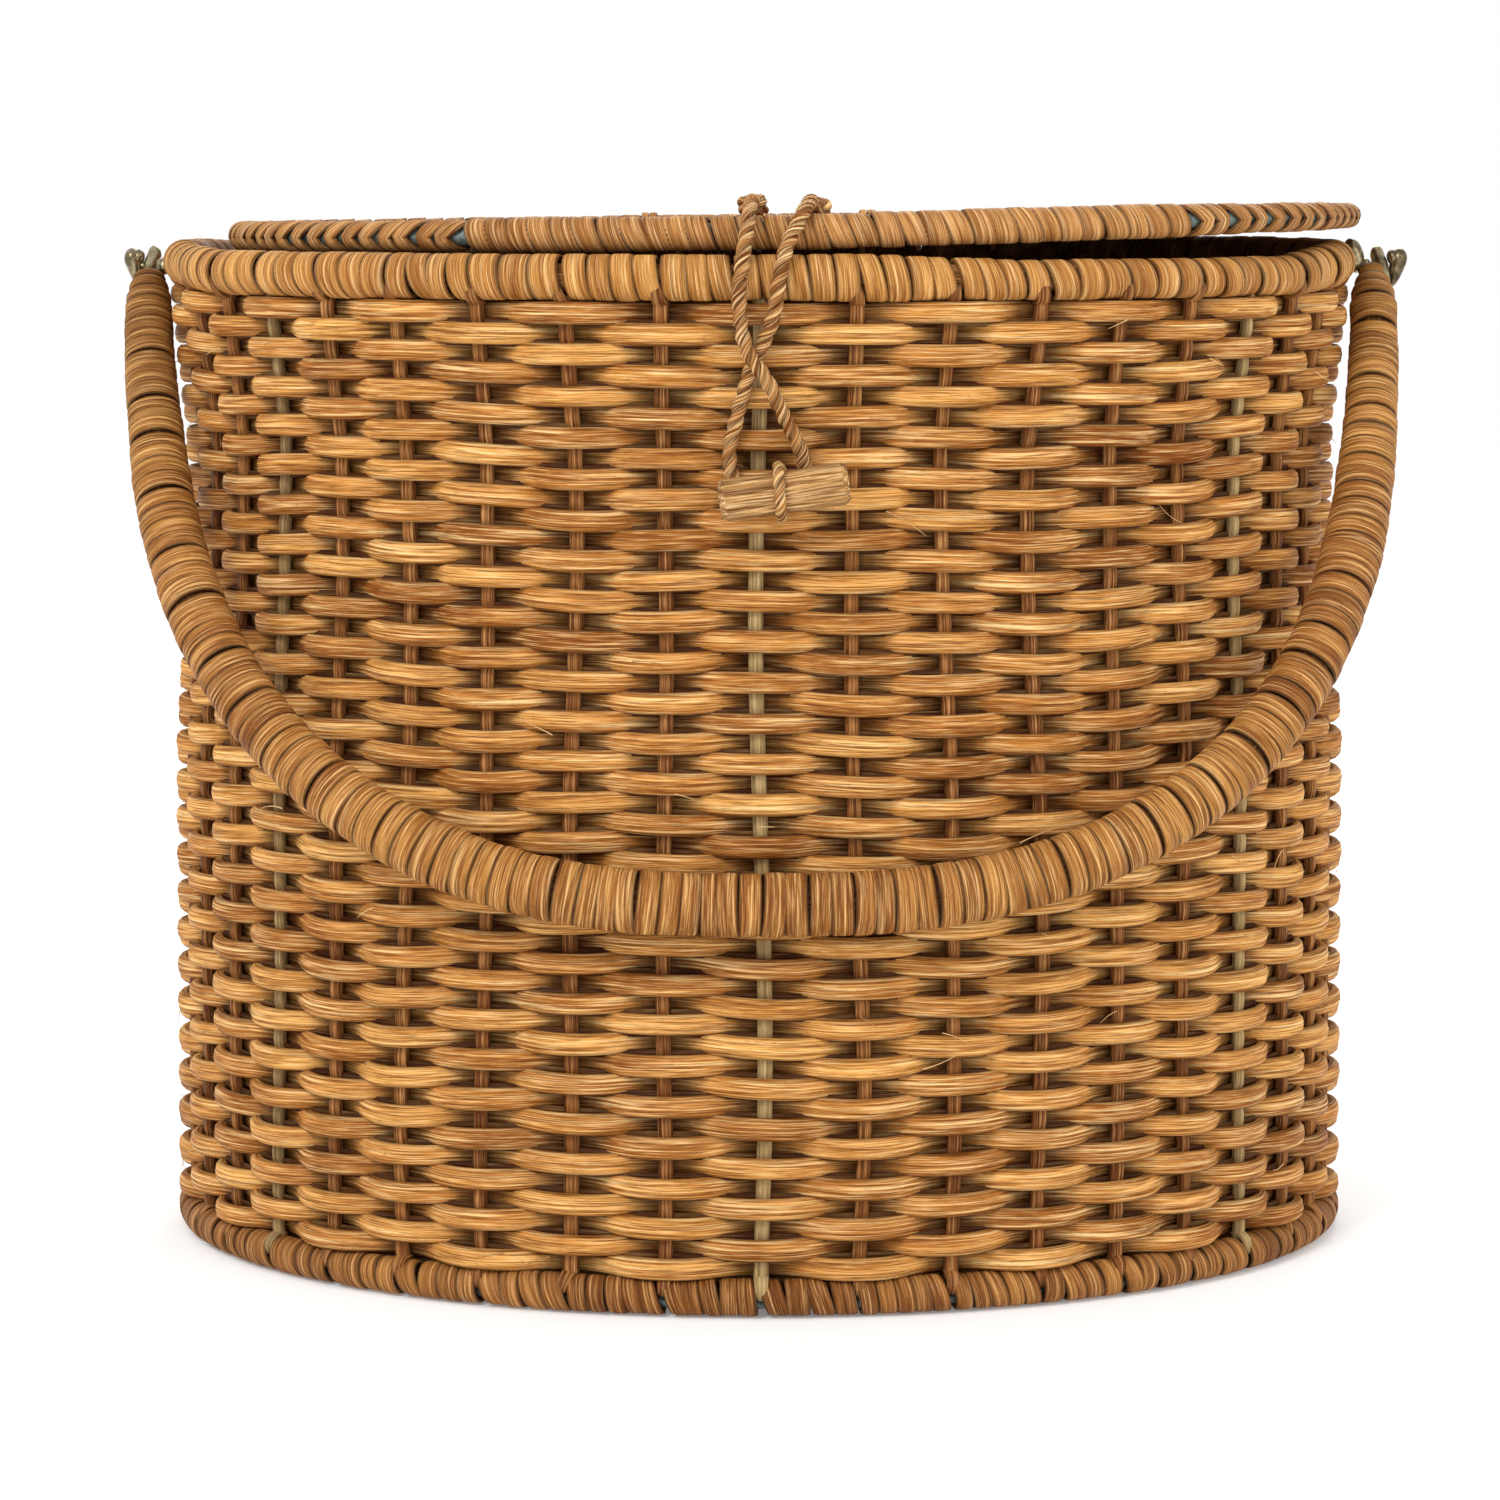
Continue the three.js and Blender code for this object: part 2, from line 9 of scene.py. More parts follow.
import bpy
import numpy as np
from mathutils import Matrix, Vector


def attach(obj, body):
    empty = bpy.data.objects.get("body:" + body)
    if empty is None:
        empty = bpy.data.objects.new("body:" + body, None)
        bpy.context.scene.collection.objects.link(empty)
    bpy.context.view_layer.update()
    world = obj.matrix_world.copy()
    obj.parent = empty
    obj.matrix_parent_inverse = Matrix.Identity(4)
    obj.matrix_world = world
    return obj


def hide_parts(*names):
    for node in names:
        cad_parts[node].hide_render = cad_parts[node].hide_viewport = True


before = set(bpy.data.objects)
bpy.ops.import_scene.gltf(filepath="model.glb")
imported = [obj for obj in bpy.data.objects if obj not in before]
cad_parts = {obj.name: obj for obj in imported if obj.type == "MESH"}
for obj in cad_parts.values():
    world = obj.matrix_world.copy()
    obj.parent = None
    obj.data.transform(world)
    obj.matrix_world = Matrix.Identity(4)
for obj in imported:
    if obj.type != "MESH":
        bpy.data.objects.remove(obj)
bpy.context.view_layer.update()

MM = 0.001
TAU = 2 * math.pi
rng = np.random.default_rng(11)


# ---- Camera
CAMERA_PLACE = (-0.0028, -1.3504, 0.3239)
CAMERA_PITCH = 0.131  # radians below the horizon
CAMERA_LENS = 105.6


def make_camera():
    data = bpy.data.cameras.new("camera")
    data.lens, data.sensor_width = CAMERA_LENS, 36
    data.clip_start, data.clip_end = 0.05, 60
    camera = bpy.data.objects.new("camera", data)
    camera.location = CAMERA_PLACE
    camera.rotation_euler = (math.pi / 2 - CAMERA_PITCH, 0, 0)
    bpy.context.scene.collection.objects.link(camera)
    bpy.context.scene.camera = camera


make_camera()


# ---- Driving dimensions
OVAL_DIFFERENCE = 48.4 * MM  # long half-axis minus short half-axis of the body's ovals
STAKE_COUNT = 40
STAKE_RADIUS = 2.1 * MM
FRAME_WIRE_PLACES = (0, 6, 14, 20, 26, 34)
WALL_HALF_THICKNESS = 5.25 * MM
WALL_HEIGHTS = np.array([11.1, 150, 205, 245, 287.5]) * MM
WALL_LONGS = np.array([180.6, 179.4, 175.8, 174.9, 179.4]) * MM - WALL_HALF_THICKNESS
WALL_BOTTOM, WALL_TOP = WALL_HEIGHTS[0], WALL_HEIGHTS[-1]
ROWS = 48
ROW_PITCH = (WALL_TOP - WALL_BOTTOM) / ROWS

BASE_LINE, BASE_WRAP_RADIUS, BASE_HOOP_RADIUS = 175.6 * MM, 5.4 * MM, 1.6 * MM
RIM_LINE, RIM_HEIGHT, RIM_WRAP_RADIUS = 174.4 * MM, 294.4 * MM, 6.6 * MM
CANE_HALF_THICKNESS = 0.75 * MM
LID_LONG, LID_SHORT = 165.75 * MM, 119 * MM
LID_CENTRE = np.array([9, 0, 307.4]) * MM
LID_SKEW = 0.0131

HINGE_PLACES = (-36 * MM, 36 * MM)
HINGE_AXIS_Y = 124.6 * MM
HINGE_RIM_RADIUS, HINGE_LID_RADIUS = 8.6 * MM, 6.2 * MM

PIVOT_HEIGHT = 295 * MM
HANDLE_HALF_WIDTH, HANDLE_DROP = 187.5 * MM, 224.2 * MM
HANDLE_REST_ANGLE = math.radians(39.1)
HANDLE_END_RADIUS, HANDLE_GRIP_RADIUS = 7.1 * MM, 9.05 * MM
HANDLE_TAPER_DROP = 110 * MM
HANDLE_START = 3 * MM
HANDLE_SHAPE = (1 / 1.3, 1 / 1.2)

TOGGLE_CENTRE = np.array([6.6, -140.6, 236.2]) * MM
TOGGLE_TILT = math.radians(8)
TOGGLE_LENGTH, TOGGLE_RADIUS = 36 * MM, 5.8 * MM
TIE_RADIUS, TIE_SHIFT = 1.4 * MM, -1.2 * MM
TIE_END_Y, TIE_STUB_HEIGHT = -127.5 * MM, 237.43 * MM
TIE_WRAP, TIE_TWIST = math.radians(320), 8.5 * MM

LOOP_CORD_RADIUS = 1.85 * MM
LOOP_ROUTE = [
    (-0.0020, -0.1132, 0.3150), (-0.0023, -0.1188, 0.3152), (-0.0030, -0.1247, 0.3130),
    (-0.0037, -0.1287, 0.3068), (-0.0046, -0.1326, 0.3010), (-0.0056, -0.1352, 0.2935),
    (-0.0057, -0.1357, 0.2860), (-0.0050, -0.1360, 0.2795), (-0.0024, -0.1360, 0.2726),
    (0.0024, -0.1352, 0.2654), (0.0075, -0.1318, 0.2545), (0.0113, -0.1296, 0.2470),
    (0.0121, -0.1289, 0.2406), (0.0090, -0.1289, 0.2345), (0.0021, -0.1289, 0.2320),
    (-0.0048, -0.1289, 0.2345), (-0.0081, -0.1289, 0.2408), (-0.0082, -0.1292, 0.2486),
    (-0.0060, -0.1300, 0.2576), (-0.0042, -0.1308, 0.2636), (-0.0025, -0.1315, 0.2698),
    (0.0009, -0.1326, 0.2768), (0.0035, -0.1340, 0.2840), (0.0050, -0.1353, 0.2920),
    (0.0066, -0.1330, 0.3008), (0.0090, -0.1288, 0.3066), (0.0120, -0.1245, 0.3126),
    (0.0140, -0.1188, 0.3151), (0.0146, -0.1134, 0.3149),
]


# ---- Shader nodes
def colour(code):
    """A hex sRGB colour as linear RGBA."""
    parts = [int(code[i : i + 2], 16) / 255 for i in (0, 2, 4)]
    return tuple(v / 12.92 if v < 0.04045 else ((v + 0.055) / 1.055) ** 2.4 for v in parts) + (1,)


class Nodes:
    """A new material and short ways to add nodes to it."""

    def __init__(self, name):
        self.material = bpy.data.materials.new(name)
        self.material.use_nodes = True
        self.tree = self.material.node_tree
        self.shader = self.tree.nodes["Principled BSDF"]

    def add(self, kind, inputs, **settings):
        node = self.tree.nodes.new(kind)
        for name, value in settings.items():
            setattr(node, name, value)
        for name, value in inputs.items():
            self.put(node, name, value)
        return node

    def put(self, node, name, value):
        if isinstance(value, bpy.types.NodeSocket):
            self.tree.links.new(value, node.inputs[name])
        else:
            node.inputs[name].default_value = value

    def attribute(self, name):
        return self.add("ShaderNodeAttribute", {}, attribute_name=name).outputs["Vector"]

    def split(self, vector):
        return self.add("ShaderNodeSeparateXYZ", {0: vector}).outputs

    def scaled(self, vector, scale):
        return self.add("ShaderNodeVectorMath", {0: vector, 1: scale}, operation="MULTIPLY").outputs[0]

    def noise(self, vector, scale=1.0, detail=3.0, roughness=0.55, distortion=0.0):
        inputs = {"Vector": vector, "Scale": scale, "Detail": detail,
                  "Roughness": roughness, "Distortion": distortion}
        return self.add("ShaderNodeTexNoise", inputs).outputs[0]

    def ramp(self, factor, *stops):
        node = self.add("ShaderNodeValToRGB", {0: factor})
        elements = node.color_ramp.elements
        while len(elements) < len(stops):
            elements.new(0.5)
        for element, (place, value) in zip(elements, stops):
            element.position = place
            element.color = colour(value) if isinstance(value, str) else (value, value, value, 1)
        return node.outputs[0]

    def math(self, operation, a, b=0.0, clamp=False):
        return self.add("ShaderNodeMath", {0: a, 1: b}, operation=operation, use_clamp=clamp).outputs[0]

    def range(self, value, low, high, to_low=0.0, to_high=1.0):
        inputs = {"Value": value, "From Min": low, "From Max": high, "To Min": to_low, "To Max": to_high}
        return self.add("ShaderNodeMapRange", inputs).outputs[0]

    def mix(self, factor, a, b, blend="MIX"):
        a, b = (colour(v) if isinstance(v, str) else v for v in (a, b))
        node = self.add("ShaderNodeMix", {0: factor, 6: a, 7: b}, data_type="RGBA", blend_type=blend)
        return node.outputs[2]

    def bump(self, height, distance, strength=1.0, normal=None):
        inputs = {"Height": height, "Distance": distance, "Strength": strength}
        if normal is not None:
            inputs["Normal"] = normal
        return self.add("ShaderNodeBump", inputs).outputs[0]

    def finish(self, **inputs):
        for name, value in inputs.items():
            self.put(self.shader, name.replace("_", " "), value)
        return self.material


def plant_fibre(name, pale, light, middle, dark, deep, streak=0.8, roughness=(0.48, 0.72), relief=0.3,
                inner=0.6, seam_shade_strength=0.3):
    """Cane, rattan or bast: streaks along each strand, its own tone, stain and painted shade where it
    dives, and painted shade where it faces inwards and in the seams along its sides."""
    n = Nodes(name)
    grain, tone = n.attribute("grain"), n.split(n.attribute("tone"))
    seed, dive, tint = tone[0], tone[1], tone[2]
    blotch = n.noise(n.scaled(grain, (0.06, 0.22, 0.22)), detail=3, roughness=0.6)
    broad = n.noise(n.scaled(grain, (0.02, 0.62, 0.62)), detail=2, roughness=0.5, distortion=0.3)
    medium = n.noise(n.scaled(grain, (0.032, 1.3, 1.3)), detail=3, roughness=0.6, distortion=0.15)
    fine = n.noise(n.scaled(grain, (0.09, 3.1, 3.1)), detail=2, roughness=0.6)
    place = n.math("ADD", n.math("MULTIPLY", tint, 0.55), n.math("MULTIPLY", blotch, 0.5))
    base = n.ramp(place, (0.2, dark), (0.46, middle), (0.72, light))
    base = n.mix(n.math("MULTIPLY", n.range(broad, 0.5, 0.36), streak), base, dark)
    base = n.mix(n.math("MULTIPLY", n.range(medium, 0.5, 0.38), 0.85 * streak), base, dark)
    base = n.mix(n.math("MULTIPLY", n.range(medium, 0.53, 0.66), streak), base, pale)
    base = n.mix(n.math("MULTIPLY", n.range(fine, 0.48, 0.38), 0.7 * streak), base, deep)
    base = n.mix(n.math("MULTIPLY", n.range(fine, 0.54, 0.64), 0.5 * streak), base, pale)
    spots = n.noise(n.scaled(grain, (0.3, 0.7, 0.7)), detail=2, roughness=0.7)
    base = n.mix(n.math("MULTIPLY", n.range(spots, 0.6, 0.74), 0.35), base, dark)
    # Painted shade on the side that faces inwards and in the seams along the strand's sides, and stain and
    # painted shade where it dives.
    inside = n.math("MULTIPLY", n.range(n.split(grain)[2], -0.4, -1.8), inner)
    edge = n.add("ShaderNodeAttribute", {}, attribute_name="edge").outputs["Fac"]
    uneven = n.math("ADD", edge, n.math("MULTIPLY", n.math("SUBTRACT", medium, 0.5), 0.5))
    painted_seam_shade = n.math("MULTIPLY", n.range(uneven, 0.7, 0.93), seam_shade_strength)
    shade = n.math("MAXIMUM", n.math("MAXIMUM", inside, painted_seam_shade), n.math("POWER", dive, 1.4))
    base = n.mix(n.math("MULTIPLY", shade, n.range(blotch, 0.3, 0.7, 1.0, 0.75)), base, deep)
    rough = n.range(n.math("ADD", n.math("MULTIPLY", medium, 0.6), n.math("MULTIPLY", seed, 0.4)),
                    0.2, 0.8, *roughness)
    height = n.math("ADD", medium, n.math("MULTIPLY", fine, 0.6))
    normal = n.bump(n.math("ADD", height, broad), relief * MM)
    return n.finish(Base_Color=base, Roughness=rough, Normal=normal, Specular_IOR_Level=0.12)


def weathered_metal(name, bright, dull, dirt, metallic, scale=330.0, roughness=(0.28, 0.6)):
    """Brass or painted wire: patches of wear over a dull skin."""
    n = Nodes(name)
    place = n.add("ShaderNodeTexCoord", {}).outputs["Object"]
    patches = n.noise(place, scale, 4, 0.65)
    grime = n.noise(place, scale * 3.1, 3, 0.6)
    base = n.ramp(patches, (0.34, dirt), (0.5, dull), (0.68, bright))
    base = n.mix(n.range(grime, 0.58, 0.7, 0, 0.7), base, dirt)
    rough = n.range(patches, 0.3, 0.7, roughness[1], roughness[0])
    normal = n.bump(n.math("ADD", patches, n.math("MULTIPLY", grime, 0.4)), 0.05 * MM)
    return n.finish(Base_Color=base, Roughness=rough, Normal=normal, Metallic=metallic)


WEAVE = plant_fibre("weave", "F8D292", "DEA253", "C07F39", "7E4410", "300E00", streak=0.75, inner=0.4)
STAKE = plant_fibre("stake", "D09A5E", "AE733A", "8C552A", "5E2E0C", "260E00")
WRAP = plant_fibre("wrap", "F0C88C", "CC914A", "AE7535", "784312", "2E1000", streak=0.6, seam_shade_strength=0.75)
BASE_WRAP = plant_fibre("base_wrap", "DAA96E", "A46E34", "845020", "562A0A", "240D00", streak=0.6, seam_shade_strength=0.75)
HANDLE_WRAP = plant_fibre("handle_wrap", "EEC282", "BC8440", "986028", "603010", "260E00", streak=0.6,
                          seam_shade_strength=0.95)
LID_WRAP = plant_fibre("lid_wrap", "EEC590", "C68F50", "A56E36", "6C3C14", "2A1001", streak=0.6, seam_shade_strength=0.75)
BOUND_WIRE = plant_fibre("bound_wire", "DCC290", "BC9E6A", "9C7E50", "725634", "3A2812", streak=0.5)
CORD = plant_fibre("cord", "FCDCA4", "D29E5A", "A2662D", "6A3410", "2E1202", relief=0.25, streak=0.9,
                   roughness=(0.65, 0.9), inner=0.0)
TWIG = plant_fibre("twig", "F0CC98", "C6985E", "A0703C", "6A401A", "2E1406", relief=0.35,
                   roughness=(0.6, 0.85), inner=0.0)
HAIR = plant_fibre("hair", "F6E2BA", "E2BB84", "BC8E54", "8F6233", "5A3A1C", streak=0.2, inner=0.0)
WIRE = weathered_metal("wire", "7F8F8C", "66736F", "3E4541", 0.35)
BRASS = weathered_metal("brass", "B4A88A", "86785C", "463B29", 0.9, scale=160.0, roughness=(0.2, 0.38))


# ---- Strands
def unit(vectors):
    return vectors / np.linalg.norm(vectors, axis=-1, keepdims=True)


def lengths(points):
    """Distance along a line of points to each of them."""
    steps = np.linalg.norm(np.diff(points, axis=0), axis=1)
    return np.concatenate([[0.0], np.cumsum(steps)])


def per_point(value, count):
    return np.broadcast_to(np.asarray(value, float), (count,))


class Strands:
    """Gathers swept strands into one mesh. Each vertex keeps its place along and across its strand
    in millimetres as "grain", the strand's seed, its stain and painted shade and its tint as "tone",
    and how near it is to the strand's side as "edge"."""

    def __init__(self):
        self.points, self.faces, self.grain, self.tone, self.edge = [], [], [], [], []
        self.count = 0

    def add(self, centres, up, half_width, half_height, closed=False, sides=10, square=1.0,
            dive=0.0, tint=None):
        """A tube that reaches half_width to each side and half_height along up. square below 1
        makes its section boxier."""
        count = len(centres)
        if closed:
            along = np.roll(centres, -1, 0) - np.roll(centres, 1, 0)
        else:
            along = np.gradient(centres, axis=0)
        up = np.broadcast_to(up, centres.shape)
        seed = rng.random()
        sizes = [per_point(v, count) for v in (half_width, half_height, dive)]
        sizes.append(per_point(rng.random() if tint is None else tint, count))
        if closed:  # a copy of the first ring lets the grain run on without a jump
            centres, along, up, *sizes = (np.concatenate([v, v[:1]]) for v in (centres, along, up, *sizes))
            count += 1
        half_width, half_height, dive, tint = sizes
        along = unit(along)
        side = unit(np.cross(up, along))
        up = np.cross(along, side)
        turn = TAU * (np.arange(sides) + 0.5) / sides
        across = np.sign(np.cos(turn)) * np.abs(np.cos(turn)) ** square
        rise = np.sign(np.sin(turn)) * np.abs(np.sin(turn)) ** square
        edge = np.broadcast_to(np.abs(across), (count, sides))
        across, rise = half_width[:, None] * across, half_height[:, None] * rise
        rings = centres[:, None] + side[:, None] * across[..., None] + up[:, None] * rise[..., None]
        place = np.broadcast_to((lengths(centres) / MM + 900 * seed)[:, None], across.shape)
        self.points.append(rings.reshape(-1, 3))
        self.grain.append(np.stack([place, across / MM, rise / MM], -1).reshape(-1, 3))
        self.tone.append(np.repeat(np.stack([np.full(count, seed), dive, tint], -1), sides, axis=0))
        self.edge.append(edge.reshape(-1))
        self._join(count, sides, capped=not closed)
        self.count += count * sides

    def _join(self, count, sides, capped):
        """The faces between the rings of the strand that was just added, and over its ends."""
        row = np.arange(count - 1)[:, None]
        column = np.arange(sides)[None]
        beside = (column + 1) % sides
        quads = np.stack([row * sides + column, row * sides + beside,
                          (row + 1) * sides + beside, (row + 1) * sides + column], -1)
        self.faces += (quads.reshape(-1, 4) + self.count).tolist()
        if capped:
            last = self.count + (count - 1) * sides
            self.faces.append(list(range(self.count + sides - 1, self.count - 1, -1)))
            self.faces.append(list(range(last, last + sides)))

    def build(self, name, material, body, slot, *nodes):
        points = np.concatenate(self.points)
        mesh = bpy.data.meshes.new(name)
        mesh.from_pydata(points.tolist(), [], self.faces)
        for label, values in (("grain", self.grain), ("tone", self.tone)):
            layer = mesh.attributes.new(label, "FLOAT_VECTOR", "POINT")
            layer.data.foreach_set("vector", np.concatenate(values).astype(np.float32).ravel())
        layer = mesh.attributes.new("edge", "FLOAT", "POINT")
        layer.data.foreach_set("value", np.concatenate(self.edge).astype(np.float32))
        return place_piece(name, mesh, material, body, slot, *nodes)


def place_piece(name, mesh, material, body, slot, *nodes):
    """Puts a mesh in the scene as a smooth piece that rides on a body and stands for CAD nodes."""
    mesh.polygons.foreach_set("use_smooth", [True] * len(mesh.polygons))
    mesh.materials.append(material)
    piece = bpy.data.objects.new(name, mesh)
    bpy.context.scene.collection.objects.link(piece)
    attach(piece, body)
    if nodes:
        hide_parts(*nodes)
    return piece


def smooth_line(points, spacing):
    """A Catmull-Rom line through points, resampled at an even spacing."""
    points = np.asarray(points, float)
    ends = np.vstack([2 * points[0] - points[1], points, 2 * points[-1] - points[-2]])
    t = np.linspace(0, 1, 16, endpoint=False)[:, None]
    spans = []
    for a, b, c, d in zip(ends, ends[1:], ends[2:], ends[3:]):
        spans.append(0.5 * (2 * b + (c - a) * t + (2 * a - 5 * b + 4 * c - d) * t**2
                            + (3 * b - a - 3 * c + d) * t**3))
    line = np.vstack([*spans, points[-1:]])
    return evenly(line, spacing)


def evenly(line, spacing):
    """A line resampled at an even spacing."""
    at = lengths(line)
    wanted = np.linspace(0, at[-1], max(2, round(at[-1] / spacing) + 1))
    return np.stack([np.interp(wanted, at, line[:, axis]) for axis in range(3)], -1)


def carried_normals(line):
    """A normal at each point of a line that turns as little as it can from one to the next."""
    along = unit(np.gradient(line, axis=0))
    normal = unit(np.cross(along[0], (0.3, 0.2, 1.0)))
    normals = []
    for direction in along:
        normal = unit(normal - direction * (normal @ direction))
        normals.append(normal)
    return np.array(normals), along


PLY_OFFSET, PLY_HALF_WIDTH, PLY_HALF_HEIGHT = 0.55, 0.8, 0.66  # as shares of the cord's radius


def add_twisted(strands, line, radius, pitch, sides=9):
    """Two plies laid round each other along a line, with a full turn in each pitch."""
    normals, along = carried_normals(line)
    binormals = np.cross(along, normals)
    turns = lengths(line) / pitch * TAU
    for ply in (0, math.pi):
        out = normals * np.cos(turns + ply)[:, None] + binormals * np.sin(turns + ply)[:, None]
        swell = 1 + 0.08 * np.sin(turns * 0.37 + ply + radius * 9000)
        strands.add(line + out * radius * PLY_OFFSET, out, radius * PLY_HALF_WIDTH * swell,
                    radius * PLY_HALF_HEIGHT * swell, sides=sides, tint=rng.uniform(0.3, 0.7))


# ---- Cords
CORD_TWIST = 10 * MM
KNOT_CORD_RADIUS, KNOT_TWIST = 1.35 * MM, 8 * MM


def knot(name, centre, scale, turn):
    """A small overhand knot, in cord drawn a little thinner than the loop's."""
    t = np.linspace(0, TAU, 90)
    shape = np.stack([np.sin(t) + 2 * np.sin(2 * t), np.cos(t) - 2 * np.cos(2 * t), -1.3 * np.sin(3 * t)], -1)
    c, s = math.cos(turn), math.sin(turn)
    shape = shape @ np.array([[c, s, 0], [-s, c, 0], [0, 0, 1]])
    strands = Strands()
    add_twisted(strands, np.asarray(centre) + shape * scale, KNOT_CORD_RADIUS, KNOT_TWIST)
    return strands.build(name, CORD, "closure", "plant_fibre_cord")


def closure():
    """The loop of cord from the lid, hooked behind the toggle, with a knot at each end."""
    line = smooth_line(LOOP_ROUTE, 0.9 * MM)
    strands = Strands()
    add_twisted(strands, line, LOOP_CORD_RADIUS, CORD_TWIST)
    cord = strands.build("closure_cord", CORD, "closure", "plant_fibre_cord", "closure_loop")
    knots = [knot("knot_left", line[0] + (0.0004, 0.0022, -0.0008), 1.15 * MM, 0.4),
             knot("knot_right", line[-1] + (0.001, 0.0022, -0.0012), 1.05 * MM, 1.7)]


closure()


# ---- Ovals
UPWARD = np.array([0.0, 0.0, 1.0])


def oval(long, short, angle, height=0.0):
    """Points of an oval. The angle runs from the middle of the front towards +X."""
    angle = np.asarray(angle, float)
    return np.stack([long * np.sin(angle), -short * np.cos(angle), np.broadcast_to(height, angle.shape)], -1)


def outward(long, short, angle):
    """The outward direction at each of an oval's points."""
    angle = np.asarray(angle, float)
    return unit(np.stack([short * np.sin(angle), -long * np.cos(angle), 0 * angle], -1))


def wall_long(height):
    """The long half-axis of the wall's centre line at a height."""
    return np.interp(height, WALL_HEIGHTS, WALL_LONGS)


RIM_LIFT = 2.2 * MM
RIM_SQUEEZE, RIM_SQUEEZE_DROP = 0.14, 0.9 * MM


def rim_lift(angle):
    """How far the rim has risen at its left end, its right end and the back beside that."""
    right = np.clip((angle - 1.1) / 0.4, 0, 1) * np.clip((3.0 - angle) / 0.5, 0, 1)
    left = np.clip((angle - 4.25) / 0.3, 0, 1) * np.clip((5.15 - angle) / 0.3, 0, 1)
    return RIM_LIFT * (right + left)


def rim_squeeze(angle):
    """0 to 1 where the front of the rim is pressed thinner, at the right."""
    return np.clip((angle - 0.15) / 0.3, 0, 1) * np.clip((1.25 - angle) / 0.2, 0, 1)


def drift(angle, height):
    """How far the hand-made weave strays sideways and upwards, fading at the top and bottom."""
    h = height / MM
    aside = (1.1 * np.sin(2 * angle + h / 71 + 0.6) + 0.8 * np.sin(5 * angle - h / 43 + 2.0)
             + 0.55 * np.sin(13 * angle + h / 29 + 4.0))
    rise = (0.75 * np.sin(3 * angle + h / 90 + 1.0) + 0.5 * np.sin(7 * angle - h / 50 + 5.0)
            + 0.3 * np.sin(17 * angle + h / 23))
    room = np.clip(np.minimum(height - WALL_BOTTOM, WALL_TOP - height) / (40 * MM), 0, 1)
    lift = rim_lift(np.asarray(angle) % TAU) * np.clip((height - WALL_TOP) / (60 * MM) + 1, 0, 1)
    return aside * MM * (0.35 + 0.65 * room), rise * MM * room + lift


def wall_place(angle, height, offset):
    """A point of the wall, offset outwards from its centre line, with the outward direction."""
    aside, rise = drift(angle, height)
    long = wall_long(height)
    turned = angle + aside / long
    direction = outward(long, long - OVAL_DIFFERENCE, turned)
    centre = oval(long, long - OVAL_DIFFERENCE, turned, height + rise)
    return centre + direction * np.asarray(offset)[..., None], direction


def swing(place, row):
    """+1 where a row passes in front of a stake, -1 where it passes behind."""
    wave = -np.cos(math.pi * (place + row))
    return 0.55 * wave + 0.45 * np.sin(wave * math.pi / 2)


# ---- Walls
WEAVER_HALF_HEIGHT, WEAVER_HALF_DEPTH = 3.15 * MM, 2.1 * MM
WEAVER_SWING = 3.75 * MM
CHINK_HALF_HEIGHT, CHINK_HALF_DEPTH = 1.3 * MM, 0.5 * MM
STAKE_SWING = 0.45 * MM  # how far the weavers push a stake to and fro
STAKE_TUCK = 1.5 * MM  # how far a stake's ends reach into the bindings
TONGUE_HALF_THICKNESS = 0.9 * MM
DARKENED_ROWS = ((36, 10, 0.16), (0, 7, 0.13))  # the middle row, the spread and the strength


def weavers(rows):
    """One closed strand for each row, in front of and behind the stakes by turns."""
    strands = Strands()
    steps = STAKE_COUNT * 8
    places = (0.5 + np.arange(steps) / steps) * STAKE_COUNT
    angle = places * TAU / STAKE_COUNT
    for row in rows:
        height = WALL_BOTTOM + (row + 0.5) * ROW_PITCH
        phase = rng.uniform(0, TAU, 4)
        wander = 0.12 * np.sin(4 * angle + phase[0]) + 0.1 * np.sin(9 * angle + phase[1])
        thick = 1 + 0.03 * np.sin(3 * angle + phase[2]) + 0.03 * np.sin(11 * angle + phase[3])
        front = swing(places, row)
        centres, up = wall_place(angle, height + wander * MM, WEAVER_SWING * front)
        tint = 0.5 + 0.2 * np.sin(2 * angle + phase[1]) + 0.15 * np.sin(7 * angle + phase[0])
        darkening = sum(most * math.exp(-(((row - middle) / spread) ** 2))
                        for middle, spread, most in DARKENED_ROWS)
        tint = np.clip(tint - darkening + rng.uniform(-0.12, 0.12), 0, 1)
        # Darker where the row passes behind a stake: stain and painted shade.
        strands.add(centres, up, WEAVER_HALF_HEIGHT * thick, WEAVER_HALF_DEPTH * thick, closed=True,
                    square=0.85, dive=0.85 * np.clip((-0.3 - front) / 0.6, 0, 1), tint=tint)
    return strands


def chink_shade():
    """Dark rings in the chinks between the rows: painted shade where the gaps would show through."""
    strands = Strands()
    angle = (0.5 + np.arange(200) / 200) * TAU
    for row in range(1, ROWS):
        centres, up = wall_place(angle, WALL_BOTTOM + row * ROW_PITCH, 0 * angle)
        strands.add(centres, up, CHINK_HALF_HEIGHT, CHINK_HALF_DEPTH, closed=True, sides=6, dive=1.0)
    strands.build("chink_shade_rings", WEAVE, "basket", "rattan_weave")


